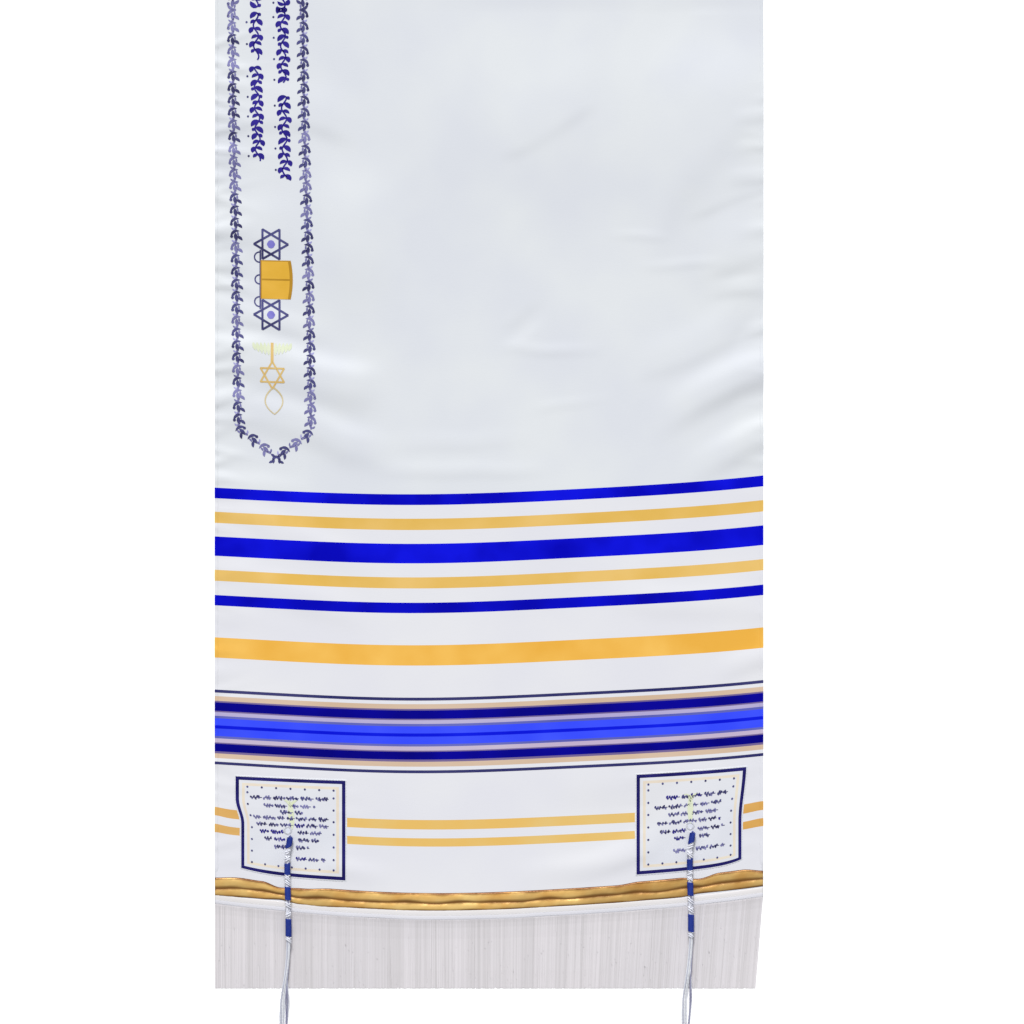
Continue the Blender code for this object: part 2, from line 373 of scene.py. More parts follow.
columnLines, rowLines = panelColumns(), panelRows()
liftTable = clothLift(*(part.copy() for part in np.broadcast_arrays(columnLines[None, :], rowLines[:, None])))
print("cloth laid out,", len(rowLines), "rows by", len(columnLines), "columns")


def between(lines, places):
    # the line before each place, and how far on towards the next line it lies
    before = np.clip(np.searchsorted(lines, places) - 1, 0, len(lines) - 2)
    return before, np.clip((places - lines[before]) / (lines[before + 1] - lines[before]), 0, 1)


def onCloth(across, along, above=0.0):
    # points over the panel's own faces, so that sewn and printed pieces follow it closely
    across, along = np.broadcast_arrays(np.asarray(across, float), np.asarray(along, float))
    column, right = between(columnLines, across)
    row, up = between(rowLines, along)
    low = liftTable[row, column] * (1 - right) + liftTable[row, column + 1] * right
    high = liftTable[row + 1, column] * (1 - right) + liftTable[row + 1, column + 1] * right
    x, y = clothPoint(across, along)
    return np.stack([x, y, shawl["top"] + low * (1 - up) + high * up + above], axis=-1)


# Meshes are gathered as points, faces and the material slot of each face.

def newMesh():
    return {"points": [], "faces": [], "slots": [], "count": 0}


def addPoints(mesh, points):
    start = mesh["count"]
    points = np.asarray(points, float).reshape(-1, 3)
    mesh["points"].append(points)
    mesh["count"] += len(points)
    return start


def addFaces(mesh, faces, slot=0):
    faces = np.asarray(faces)
    mesh["faces"].append(faces)
    mesh["slots"].append(np.broadcast_to(slot, (len(faces),)))


def addGrid(mesh, points, slots=0, flip=False):
    # points is rows by columns by 3, and slots is one for each face or one for all
    rows, columns = points.shape[:2]
    start = addPoints(mesh, points)
    low = start + np.arange(rows - 1)[:, None] * columns + np.arange(columns - 1)
    faces = np.stack([low, low + 1, low + columns + 1, low + columns], -1).reshape(-1, 4)
    slots = np.broadcast_to(slots, (rows - 1, columns - 1)).reshape(-1)
    addFaces(mesh, faces[:, ::-1] if flip else faces, slots)


def addStrings(
    mesh, lines, radius, outward=(0, 0, 1), slot=0, corners=6, lobe=0, twistLength=0, flat=1, tip=0.55
):
    # closed strings of even make: lines is strings by points by 3, outward is any way not along them,
    # lobe makes every other corner shallower, and the corners turn once in twistLength
    lines = np.asarray(lines, float)
    count, length = lines.shape[:2]
    run = np.gradient(lines, axis=1)
    run /= np.linalg.norm(run, axis=-1, keepdims=True)
    first = np.cross(run, np.broadcast_to(outward, lines.shape))
    first /= np.linalg.norm(first, axis=-1, keepdims=True)
    second = np.cross(first, run) * flat
    radius = np.broadcast_to(radius, (count, length)).copy()
    radius[:, [0, -1]] *= tip
    corner = np.arange(corners)
    travelled = np.cumsum(np.linalg.norm(np.diff(lines, axis=1, prepend=lines[:, :1]), axis=-1), axis=1)
    turn = 2 * np.pi * travelled / twistLength if twistLength else np.zeros_like(travelled)
    angle = (turn[..., None] + 2 * np.pi * corner / corners)[..., None]
    reach = (radius[..., None] * (1 - lobe * (corner % 2)))[..., None]
    around = first[:, :, None] * np.cos(angle) + second[:, :, None] * np.sin(angle)
    rings = lines[:, :, None] + reach * around
    start = addPoints(mesh, rings)
    string = start + np.arange(count)[:, None, None] * length * corners
    ring = string + np.arange(length - 1)[None, :, None] * corners
    here, there = ring + corner, ring + (corner + 1) % corners
    faces = np.stack([here, here + corners, there + corners, there], -1)
    slotRows = np.broadcast_to(np.asarray(slot).reshape(-1, 1, 1), (count, length - 1, corners))
    addFaces(mesh, faces.reshape(-1, 4), slotRows.reshape(-1))
    capSlot = np.broadcast_to(np.asarray(slot).reshape(-1), (count,))
    addFaces(mesh, string[:, 0] + corner, capSlot)
    addFaces(mesh, string[:, 0] + (length - 1) * corners + corner[::-1], capSlot)


def addStitches(mesh, starts, stops, radius, slot=0):
    # short stitches that dive into the cloth at both ends
    starts, stops = np.asarray(starts, float), np.asarray(stops, float)
    share = np.array([0.0, 0.2, 0.8, 1.0])[None, :, None]
    lines = starts[:, None] * (1 - share) + stops[:, None] * share
    lines[:, 1:3, 2] += radius * 0.8
    addStrings(mesh, lines, radius, slot=slot, corners=4)


def makeObject(name, mesh, materials, smooth=True, values=None):
    data = bpy.data.meshes.new(name)
    faces = [face for part in mesh["faces"] for face in part.tolist()]
    data.from_pydata(np.concatenate(mesh["points"]), [], faces)
    for material in materials:
        data.materials.append(material)
    data.polygons.foreach_set("material_index", np.concatenate(mesh["slots"]).astype(np.int32))
    data.polygons.foreach_set("use_smooth", np.full(len(faces), smooth))
    for key, value in (values or {}).items():
        data.attributes.new(key, "FLOAT", "POINT").data.foreach_set("value", np.asarray(value, np.float32))
    data.update()
    piece = bpy.data.objects.new(name, data)
    bpy.context.scene.collection.objects.link(piece)
    return piece


def giveWall(piece, thickness):
    wall = piece.modifiers.new("wall", "SOLIDIFY")
    wall.thickness = thickness
    wall.offset = -1


def standsFor(piece, slot, *nodes):
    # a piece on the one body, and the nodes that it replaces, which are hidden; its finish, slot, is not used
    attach(piece, "root")
    if nodes:
        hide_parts(*nodes)


# Camera

view = {
    "middle": (0.0235, -0.5130),  # the shown half, with the fringe near the lower edge
    "span": 1.0464,
    "height": 9.0,
    "sensor": 36.0,
}


def makeCamera():
    lens = bpy.data.cameras.new("viewCamera")
    lens.sensor_width = view["sensor"]
    lens.lens = view["sensor"] * view["height"] / view["span"]
    camera = bpy.data.objects.new("viewCamera", lens)
    camera.location = (*view["middle"], view["height"])
    bpy.context.scene.collection.objects.link(camera)
    bpy.context.scene.camera = camera


makeCamera()

# Shared shader effects

def addNode(tree, kind, values=None, **settings):
    # a new node with its settings, and fixed values for some of its sockets
    node = tree.nodes.new(kind)
    for name, value in settings.items():
        setattr(node, name, value)
    for socket, value in (values or {}).items():
        node.inputs[socket].default_value = value
    return node


def makeGroup(name, inputs, outputs):
    # an empty shader group: its inputs with their first values, its outputs with their kinds
    tree = bpy.data.node_groups.new(name, "ShaderNodeTree")
    for label, value in inputs.items():
        kind = "NodeSocketColor" if isinstance(value, tuple) else "NodeSocketFloat"
        tree.interface.new_socket(name=label, in_out="INPUT", socket_type=kind).default_value = value
    for label, kind in outputs.items():
        tree.interface.new_socket(name=label, in_out="OUTPUT", socket_type=kind)
    return tree, addNode(tree, "NodeGroupInput"), addNode(tree, "NodeGroupOutput")


def makeWeaveGroup():
    # fine threads, longer one way than the other, as a height, and broad patches as a glint
    inputs = {"Across": 300.0, "Along": 1600.0}
    outputs = {"Height": "NodeSocketFloat", "Glint": "NodeSocketFloat"}
    tree, inside, outside = makeGroup("threadWeave", inputs, outputs)
    place = addNode(tree, "ShaderNodeTexCoord")
    scale = addNode(tree, "ShaderNodeCombineXYZ")
    stretch = addNode(tree, "ShaderNodeVectorMath", operation="MULTIPLY")
    threads = addNode(tree, "ShaderNodeTexNoise", {"Scale": 1.0, "Detail": 2.0, "Roughness": 0.6})
    glint = addNode(tree, "ShaderNodeTexNoise", {"Scale": 55.0, "Detail": 3.0})
    link = tree.links.new
    for way, axis in (("Across", "X"), ("Along", "Y"), ("Across", "Z")):
        link(inside.outputs[way], scale.inputs[axis])
    link(place.outputs["Object"], stretch.inputs[0])
    link(scale.outputs["Vector"], stretch.inputs[1])
    link(stretch.outputs["Vector"], threads.inputs["Vector"])
    link(place.outputs["Object"], glint.inputs["Vector"])
    link(threads.outputs["Fac"], outside.inputs["Height"])
    link(glint.outputs["Fac"], outside.inputs["Glint"])
    return tree


def makeShadeGroup():
    # slow drift between two colours, with a faint change from thread to thread: painted sheen and shade on the
    # satins and the gold ribbon, a tone that changes at random on the strings and inks
    shades = {"Color": (0.8, 0.8, 0.8, 1), "Second Color": (0.7, 0.7, 0.8, 1)}
    inputs = {**shades, "Size": 9.0, "Threads": 0.5, "Thread Share": 0.2}
    tree, inside, outside = makeGroup("toneAndSheenDrift", inputs, {"Color": "NodeSocketColor"})
    place = addNode(tree, "ShaderNodeTexCoord")
    drift = addNode(tree, "ShaderNodeTexNoise", {"Detail": 2.5})
    spread = addNode(tree, "ShaderNodeMapRange", {"From Min": 0.36, "From Max": 0.64})
    blend = addNode(tree, "ShaderNodeMix", data_type="FLOAT")
    mix = addNode(tree, "ShaderNodeMix", data_type="RGBA")
    link = tree.links.new
    link(place.outputs["Object"], drift.inputs["Vector"])
    link(inside.outputs["Size"], drift.inputs["Scale"])
    link(drift.outputs["Fac"], spread.inputs["Value"])
    link(inside.outputs["Thread Share"], blend.inputs[0])
    link(spread.outputs["Result"], blend.inputs[2])
    link(inside.outputs["Threads"], blend.inputs[3])
    link(blend.outputs[0], mix.inputs[0])
    link(inside.outputs["Color"], mix.inputs[6])
    link(inside.outputs["Second Color"], mix.inputs[7])
    link(mix.outputs[2], outside.inputs["Color"])
    return tree


weaveGroup = makeWeaveGroup()
toneAndSheenGroup = makeShadeGroup()


def linear(red, green, blue):
    # a screen colour from 0 to 255 as light values
    values = [value / 255 for value in (red, green, blue)]
    return tuple(((v + 0.055) / 1.055) ** 2.4 if v > 0.04 else v / 12.92 for v in values) + (1,)


def makeMaterial(name, look):
    # a woven or inked finish: the colour drifts (painted sheen and shade on the satins and the ribbon), threads
    # show in the bump, the gloss is uneven
    material = bpy.data.materials.new(name)
    material.use_nodes = True
    tree = material.node_tree
    link = tree.links.new
    shader = tree.nodes["Principled BSDF"]
    shader.inputs["Sheen Weight"].default_value = look.get("sheen", 0.0)
    shader.inputs["Sheen Roughness"].default_value = 0.45
    shader.inputs["Specular IOR Level"].default_value = look.get("gloss", 0.3)
    shader.inputs["Metallic"].default_value = look.get("metal", 0.0)
    weave = addNode(tree, "ShaderNodeGroup", node_tree=weaveGroup)
    weave.inputs["Across"].default_value = look.get("across", 260.0)
    weave.inputs["Along"].default_value = look.get("along", 1500.0)
    shade = addNode(tree, "ShaderNodeGroup", node_tree=toneAndSheenGroup)
    shade.inputs["Color"].default_value = linear(*look["color"])
    shade.inputs["Second Color"].default_value = linear(*look["second"])
    shade.inputs["Size"].default_value = look.get("size", 9.0)
    shade.inputs["Thread Share"].default_value = look.get("threads", 0.2)
    link(weave.outputs["Height"], shade.inputs["Threads"])
    color = shade.outputs["Color"]
    if "mark" in look:  # a point value drawn on the mesh turns the colour towards this one, as painted shade on the ribbon
        value = addNode(tree, "ShaderNodeAttribute", attribute_name=look["mark"])
        mix = addNode(tree, "ShaderNodeMix", data_type="RGBA")
        mix.inputs[7].default_value = linear(*look["marked"])
        link(value.outputs["Fac"], mix.inputs[0])
        link(color, mix.inputs[6])
        color = mix.outputs[2]
    link(color, shader.inputs["Base Color"])
    middle = look.get("rough", 0.5)
    rough = addNode(tree, "ShaderNodeMapRange", {"To Min": middle - 0.08, "To Max": middle + 0.08})
    link(weave.outputs["Glint"], rough.inputs["Value"])
    link(rough.outputs["Result"], shader.inputs["Roughness"])
    bump = addNode(tree, "ShaderNodeBump", {"Strength": look.get("bump", 0.25), "Distance": 0.0002})
    link(weave.outputs["Height"], bump.inputs["Height"])
    link(bump.outputs["Normal"], shader.inputs["Normal"])
    return material


def makeMaterials(looks, shared, ending=""):
    # one material for each look, over what the looks share
    return [makeMaterial(name + ending, {**shared, **look}) for name, look in looks.items()]


# Tassels

tassel = {
    "route": [  # drift towards the free edge, reach outwards from the eyelet, height
        (0.0000, 0.0054, 0.0071),
        (0.0000, 0.0130, 0.0070),
        (-0.0003, 0.0260, 0.0069),
        (-0.0004, 0.0420, 0.0069),
        (0.0000, 0.0600, 0.0070),
        (0.0005, 0.0780, 0.0071),
        (0.0008, 0.0960, 0.0064),
        (0.0008, 0.1140, 0.0057),
        (0.0003, 0.1320, 0.0056),
        (-0.0008, 0.1500, 0.0056),
        (-0.0024, 0.1670, 0.0050),
        (-0.0040, 0.1840, 0.0041),
        (-0.0058, 0.2040, 0.0034),
        (-0.0070, 0.2280, 0.0033),
        (-0.0074, 0.2540, 0.0033),
        (-0.0070, 0.2780, 0.0033),
        (-0.0062, 0.3000, 0.0033),
    ],
    "diameter": 0.0060,
    "step": 0.0130,
    "windings": [(0.0004, 0.0122), (0.0275, 0.0402), (0.0515, 0.0664), (0.0845, 0.1034)],
    "knots": [(0.0122, 0.0275), (0.0402, 0.0515), (0.0664, 0.0845), (0.1034, 0.1092)],
    "loose": 0.1060,  # the strings hang free from here
    "windRadius": 0.00275,
    "windPitch": 0.00112,
    "coreStrings": 7,
    "coreTurn": 0.034,  # the strings inside turn once in this length
    "oddString": 2,  # one of them is grey
    "stringRadius": 0.00058,
    "looseRadius": 0.00078,
    "freeDrift": 0.0016,  # how much further towards the free edge the free side's nearer strings hang
    "coreRadius": 0.00165,
    "firstTilt": 0.55,  # the first winding leans most, the others by up to tilt either way
    "tilt": 0.12,
    "longKnot": 0.008,  # a knot longer than this is two
    "knotReach": 0.0030,
    "knotBulge": 0.0004,
    "waver": (0.0003, 0.06),  # size and pitch
    "spread": 0.0045,  # the furthest a string hangs from the route
    "lean": 0.0022,  # how far the first winding leans towards the free edge
    "floorFrom": (0.146, 0.0032),  # the free strings lie over the fringe up to here, at this height,
    "floorTo": (0.180, 0.0009),  # and on the table from here on
    "endBall": (1.0, 1.75, 1.95, 1.95, 1.75, 1.0),  # thickness of the small knot at each string's end
    "strings": [  # place round the core in turns, drift where they part and at the end, make
        (0.00, -0.0082, -0.0086, "lightlyShadedString"),
        (0.13, -0.0070, -0.0068, "deeplyShadedString"),
        (0.26, -0.0053, -0.0066, "lightlyShadedString"),
        (0.38, -0.0037, -0.0050, "lightlyShadedString"),
        (0.50, -0.0018, -0.0036, "greyString"),
        (0.63, -0.0005, -0.0022, "greyString"),
        (0.75, 0.0008, -0.0030, "deeplyShadedString"),
        (0.88, 0.0020, -0.0014, "lightlyShadedString"),
    ],
}

woolFinish = {"rough": 0.75, "gloss": 0.2, "across": 1300, "along": 700, "bump": 0.5, "threads": 0.5}
stringLooks = {
    "whiteString": {"color": (238, 239, 246), "second": (224, 226, 238)},
    "blueString": {"color": (22, 44, 132), "second": (40, 66, 164), "rough": 0.6, "gloss": 0.25, "along": 900},
    "greyString": {"color": (142, 142, 170), "second": (162, 162, 186)},
    # darker copies of the white string for the loose strings: painted shade, light on this one and deeper on
    # the next
    "lightlyShadedString": {"color": (226, 228, 236), "second": (236, 238, 242)},
    "deeplyShadedString": {"color": (190, 192, 208), "second": (202, 204, 216)},
}
strings = list(stringLooks)
stringMaterials = makeMaterials(stringLooks, woolFinish)


def alongLine(line, places):
    # points, headings and two side ways at these lengths along a line
    lengths = np.concatenate([[0], np.cumsum(np.linalg.norm(np.diff(line, axis=0), axis=1))])
    points, ahead, behind = (
        np.stack([np.interp(places + more, lengths, line[:, part]) for part in range(3)], -1)
        for more in (0, 0.002, -0.002)
    )
    run = ahead - behind
    run /= np.linalg.norm(run, axis=-1, keepdims=True)
    sideways = np.cross(run, (0, 0, 1))
    sideways /= np.linalg.norm(sideways, axis=-1, keepdims=True)
    points[..., 0] += tassel["lean"] * np.clip(1.25 - places / 0.014, 0, 1) * np.clip(places / 0.002, 0, 1)
    return points, sideways, np.cross(sideways, run), run


def addCoil(mesh, line, start, stop, radius, pitch, stringRadius, slot, tilt=0.0, phase=0.0):
    # a string wound round the line from start to stop, its turns tilted
    room = stop - start - 2 * stringRadius
    turns = room / pitch
    share = np.linspace(0, 1, max(20, int(turns * 14)))
    angle = 2 * np.pi * (turns * share + phase)
    places = start + stringRadius + share * room + tilt * radius * np.cos(angle)
    points, sideways, upwards, _ = alongLine(line, places)
    outward = sideways * np.cos(angle)[:, None] + upwards * np.sin(angle)[:, None]
    addStrings(mesh, [points + outward * radius], stringRadius, outward[None], slot, 5)


def addWoundPart(mesh, line, chance):
    # the strings inside, seen between the knots, then the windings and the knots over them
    thin, core = tassel["stringRadius"], tassel["coreRadius"]
    places = np.linspace(0.0005, tassel["loose"], 90)
    points, sideways, upwards, _ = alongLine(line, places)
    for index in range(tassel["coreStrings"]):
        angle = 2 * np.pi * (index / tassel["coreStrings"] + places / tassel["coreTurn"])[:, None]
        lines = points + core * (sideways * np.cos(angle) + upwards * np.sin(angle))
        make = "greyString" if index == tassel["oddString"] else "whiteString"
        addStrings(mesh, [lines], thin, slot=strings.index(make), corners=5)
    blue = strings.index("blueString")
    for index, (start, stop) in enumerate(tassel["windings"]):
        tilt = tassel["firstTilt"] if index == 0 else chance.uniform(-tassel["tilt"], tassel["tilt"])
        radius, pitch = tassel["windRadius"], tassel["windPitch"]
        addCoil(mesh, line, start, stop, radius, pitch, thin, blue, tilt, index * 0.3)
    for start, stop in tassel["knots"]:
        middle = (start + stop) / 2
        parts = [(start, middle), (middle, stop)] if stop - start > tassel["longKnot"] else [(start, stop)]
        for low, high in parts:
            bulge = core + thin + tassel["knotBulge"] * chance.uniform(0.6, 1.0)
            lean = chance.choice((-1, 1)) * chance.uniform(0.5, 0.9)
            middle, half = (low + high) / 2, min(tassel["knotReach"], (high - low) * 0.45)
            for reach, pitch, thicker, tilt in ((1, 0.78, 1.18, lean), (0.2, 1.1, 1.05, -lean)):
                places = (middle - half, middle + half * reach)
                addCoil(mesh, line, *places, bulge, half * pitch, thin * thicker, 0, tilt, chance.random())


def addLooseStrings(mesh, line, name, side, eyeletX):
    # the eight free strings, each with a small knot at its end
    core = tassel["coreRadius"]
    total = float(np.sum(np.linalg.norm(np.diff(line, axis=0), axis=1)))
    places = np.linspace(tassel["loose"] - 0.004, total - 0.001, 150)
    points, sideways, _, run = alongLine(line, places)
    share = (places - places[0]) / (places[-1] - places[0])
    opening = np.clip(share / 0.35, 0, 1) ** 1.4
    settle = np.clip((share - 0.05) / 0.5, 0, 1)
    floor = np.interp(places, *zip(tassel["floorFrom"], tassel["floorTo"]))
    for index, (turn, half, full, make) in enumerate(tassel["strings"]):
        drift = np.interp(share, [0, 0.36, 1.0], [0, half, full])
        drift = drift + sizedRipple(places, tassel["waver"], name + str(index))
        drift = drift + tassel["freeDrift"] * (side > 0 and half > -0.003)
        angle = 2 * np.pi * (turn + share * 0.6 * (1 - opening))
        gathered = core * (1 - opening)
        height = points[:, 2] + gathered * np.sin(angle)
        laid = np.maximum(floor + 0.0011 * (index % 3), 0.0007)
        lines = points + sideways * (gathered * np.cos(angle))[:, None]
        lines[:, 2] = height * (1 - settle) + laid * settle
        room = np.sqrt(np.maximum(tassel["spread"] ** 2 - (lines[:, 2] - points[:, 2]) ** 2, 1e-6))
        lines[:, 0] += np.clip(eyeletX + drift - points[:, 0], -room, room) * opening
        slot = strings.index(make)
        addStrings(mesh, [lines], tassel["looseRadius"], slot=slot, corners=6, lobe=0.16, twistLength=0.011)
        knot = lines[-1] - 0.0022 * run[-1]
        ball = knot + np.linspace(-0.0013, 0.0013, 6)[:, None] * run[-1]
        addStrings(mesh, [ball], tassel["stringRadius"] * np.array([tassel["endBall"]]), slot=slot, corners=7)


def makeTassel(name, end, side):
    # the cord's route starts at the eyelet and follows the middle of the strings
    eyeletX, eyeletY = clothPoint(side * patch["eyeletAcross"], end * patch["eyeletAlong"])
    stops = [(eyeletX + drift, eyeletY + end * reach, height) for drift, reach, height in tassel["route"]]
    route = smoothLine(stops, tassel["step"])
    fine = smoothLine(stops, 0.003)
    mesh = newMesh()
    addWoundPart(mesh, fine, random.Random(name))
    addLooseStrings(mesh, fine, name, side, eyeletX)
    piece = makeObject("tassel_" + name, mesh, stringMaterials)
    standsFor(piece, "tassel_strings", "tzitzit_" + name)
    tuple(stops[0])


for corner in fourCorners:
    makeTassel(*corner)
print("tassels made")

# Satin panel

satinFinish = {"rough": 0.42}
# each satin drifts towards its second colour in broad patches: painted sheen and shade
satinLooks = {
    "white": {"color": (216, 219, 226), "second": (223, 226, 229), "sheen": 0.12, "gloss": 0.35},
    # the same white yarn, a little lighter in the striped cloth: painted light
    "litStripedWhite": {"color": (222, 222, 229), "second": (227, 227, 231), "sheen": 0.12, "gloss": 0.35},
    "royal": {"color": (0, 0, 176), "second": (12, 18, 224), "gloss": 0.06, "size": 15},
    "deepRoyal": {"color": (0, 0, 160), "second": (6, 10, 204), "gloss": 0.06, "size": 15},
    "gold": {"color": (232, 172, 62), "second": (244, 192, 92), "gloss": 0.25, "rough": 0.40, "size": 15},
    "softGold": {"color": (222, 178, 82), "second": (232, 192, 112), "gloss": 0.25, "rough": 0.40, "size": 15},
    "dullGold": {"color": (228, 184, 98), "second": (226, 192, 120), "gloss": 0.25, "size": 15},
    "edgeGold": {"color": (212, 160, 80), "second": (218, 172, 102), "gloss": 0.25, "size": 15},
    "navy": {"color": (36, 38, 94), "second": (62, 62, 112), "gloss": 0.1, "rough": 0.5},
    "tan": {"color": (204, 176, 148), "second": (214, 190, 168), "gloss": 0.2, "rough": 0.45},
    "dusk": {"color": (104, 88, 138), "second": (124, 108, 152), "gloss": 0.1, "rough": 0.45},
    "darkBlue": {"color": (2, 0, 112), "second": (6, 3, 150), "gloss": 0.05, "size": 15},
    "lilac": {"color": (172, 162, 206), "second": (184, 176, 210), "gloss": 0.2, "rough": 0.45},
    "mauve": {"color": (186, 168, 196), "second": (198, 184, 206), "gloss": 0.2, "rough": 0.45},
    "duskBlue": {"color": (84, 88, 168), "second": (104, 108, 186), "gloss": 0.1, "rough": 0.45},
    "brightBlue": {"color": (50, 70, 246), "second": (64, 84, 248), "gloss": 0.06, "size": 15},
    "midBlue": {"color": (2, 12, 204), "second": (14, 32, 228), "gloss": 0.06, "size": 15},
}
yarns = list(satinLooks)
satins = makeMaterials(satinLooks, satinFinish, "Satin")


def yarnAt(distance):
    for start, stop, yarn in stripes:
        if start <= distance < stop:
            return yarns.index(yarn)
    return yarns.index("white" if distance < stripes[0][0] else "litStripedWhite")


def rowYarns(lines, outermost):
    # the last gold stripes are duller outermost, beyond the patches
    found = np.array([yarnAt(abs(middle)) for middle in (lines[1:] + lines[:-1]) / 2])[:, None]
    return np.where(outermost & (found == yarns.index("dullGold")), yarns.index("edgeGold"), found)


def makePanel():
    mesh = newMesh()
    outermost = np.abs(columnLines[1:] + columnLines[:-1])[None, :] / 2 > shawl["patchesEnd"]
    addGrid(mesh, onCloth(columnLines[None, :], rowLines[:, None]), rowYarns(rowLines, outermost))
    piece = makeObject("satinPanel", mesh, satins)
    giveWall(piece, shawl["wall"])
    standsFor(piece, "white_satin", "shawl_panel")
    return piece


panel = makePanel()
print("satin panel laid,", len(panel.data.polygons), "faces")

# Rolled hems along both long edges

hem = {
    "profile": [  # inwards from the edge, height over the cloth
        (0.0034, -0.0005),
        (0.0029, 0.0000),
        (0.0024, 0.0001),
        (0.0012, 0.0001),
        (0.0004, 0.0001),
        (0.0001, 0.0001),
        (0.00005, 0.0000),
        (0.0000, -0.0013),
    ],
    "rowStep": 0.0020,
    "stitchPitch": 0.0031,
    "stitchLength": 0.0020,
    "stitchInwards": 0.0019,
    "stitchRadius": 0.00011,
    "stitchAbove": 0.0001,
    "stitchesTo": 0.905,
    "wander": (0.00025, 0.013),  # size and pitch
    "gather": (0.35, 0.0062),
    "flatFrom": 0.886,  # pressed flat under the ribbon from here, over flatOver, and sunk a little
    "flatOver": 0.005,
    "sunk": 0.0006,
    "rolledUnder": -0.001,  # profile points lower than this are the turned-under edge
    "lowest": 0.0002,
    "wall": 0.0003,
}

stitchFinish = {"rough": 0.6, "gloss": 0.3, "across": 1500, "along": 1500, "bump": 0.3}
stitchLooks = {
    "whiteStitch": {"color": (226, 228, 236), "second": (236, 237, 242)},
    "eyeletHole": {"color": (220, 223, 234), "second": (210, 214, 226), "rough": 0.8, "gloss": 0.1,
                   "across": 260, "bump": 0.25},
}
stitchMaterials = makeMaterials(stitchLooks, stitchFinish)


def makeHem(name, side):
    # a narrow roll along the edge, in the stripes' own yarns, and its stitches
    half = steps([0.0, *stripeEdges, shawl["halfCloth"]], hem["rowStep"])
    rows = np.concatenate([-half[::-1], half[1:]])
    inwards, height = (np.array(part) for part in zip(*hem["profile"]))
    wander = sizedRipple(rows, hem["wander"], name)[:, None]
    gather = 1 + sizedRipple(rows, hem["gather"], name + "gather")[:, None]
    points = onCloth(side * (shawl["halfWidth"] - inwards - wander * (inwards > 0.001)), rows[:, None])
    raised = 1 - np.clip((np.abs(rows[:, None]) - hem["flatFrom"]) / hem["flatOver"], 0, 1)
    under = height < hem["rolledUnder"]
    points[..., 2] += np.where(under, height, height * gather * raised - hem["sunk"] * (1 - raised))
    points[..., 2] = np.where(under, np.maximum(hem["lowest"], points[..., 2]), points[..., 2])
    mesh = newMesh()
    addGrid(mesh, points, rowYarns(rows, True), flip=side > 0)
    piece = makeObject("hem_" + name, mesh, satins)
    giveWall(piece, hem["wall"])
    standsFor(piece, "white_satin")
    seam = newMesh()
    starts = np.arange(-hem["stitchesTo"], hem["stitchesTo"], hem["stitchPitch"])
    across = side * (shawl["halfWidth"] - hem["stitchInwards"])
    stops = starts + hem["stitchLength"]
    low, high = (onCloth(across, places, hem["stitchAbove"]) for places in (starts, stops))
    addStitches(seam, low, high, hem["stitchRadius"])
    stitches = makeObject("hemStitches_" + name, seam, stitchMaterials)
    standsFor(stitches, "white_satin")
    return [piece, stitches]


hems = [piece for name, side in sides.items() for piece in makeHem(name, side)]
print("hems rolled")

# Gold ribbon, end tape and fringe

ribbon = {
    "inner": 0.8950,
    "outer": 0.9129,
    "innerSway": [(-0.285, 0.0005), (-0.255, -0.0022), (-0.232, -0.0012), (-0.213, 0.0034), (-0.190, 0.0022),
                  (-0.160, 0), (0.130, 0), (0.155, -0.0022), (0.195, -0.0024), (0.215, 0.0004),
                  (0.236, -0.0034), (0.258, -0.0034), (0.285, 0.0012)],
    "outerSway": [(-0.285, 0.0010), (-0.232, -0.0008), (-0.213, -0.0018), (-0.193, 0.0013), (-0.172, 0.0018),
                  (-0.140, 0.0004), (0.120, 0), (0.195, -0.0002), (0.215, -0.0022), (0.285, -0.0012)],
    "shade": [(-0.285, 0.25), (-0.245, 0.20), (-0.225, 0.05), (-0.200, 0.15), (-0.178, 0.28),
              (-0.140, 0.10), (-0.100, 0), (0.010, 0), (0.037, 0.20), (0.060, 0.05), (0.085, 0.05),
              (0.110, 0.36), (0.150, 0.38), (0.208, 0.32), (0.285, 0.34)],  # painted shade: how much darker the gold is, by across
    "columns": 430,
    "cells": 7,  # across each of the two puffs
    "middle": 0.545,
    "middleSway": (0.06, 0.075),  # size and pitch
    "puff": 0.00095,
    "swell": (0.25, 0.036),
    "crease": (0.16, 0.0105),
    "creaseSlant": 0.008,
    "above": 0.00015,
    "lines": {  # strength and reach of each dark line of painted shade, in the hollows and along the edges
        "inner": (1.7, 0.0018),
        "middle": (1.35, 0.0019),
        "outer": (1.4, 0.0014),
    },
    "lineWander": (0.35, 0.048),
    "wall": 0.0004,
}

tape = {
    "profile": [  # distance on the cloth, height over it
        (0.9128, 0.0002),
        (0.9134, 0.0003),
        (0.9144, 0.0004),
        (0.9156, 0.0004),
        (0.9166, 0.0004),
        (0.9174, 0.0003),
        (0.9182, 0.0003),
        (0.9190, 0.0004),
        (0.9202, 0.0004),
        (0.9214, 0.0003),
        (0.9221, 0.0001),
        (0.9222, 0.0001),
        (0.9223, -0.0008),
    ],
    "brightRows": 6,  # the rows next to the ribbon are the brighter ones
    "columns": 300,
    "wander": (0.0003, 0.09),  # size and pitch
    "gather": (0.12, 0.0085),
    "wall": 0.0004,
    "width": 0.0120,
    "stitchLines": (0.9176, 0.9212),
    "stitchFrom": -0.276,
    "stitchTo": 0.274,
    "stitchPitch": 0.0036,
    "stitchLength": 0.0025,
    "stitchAbove": 0.0003,
    "stitchRadius": 0.00014,
}

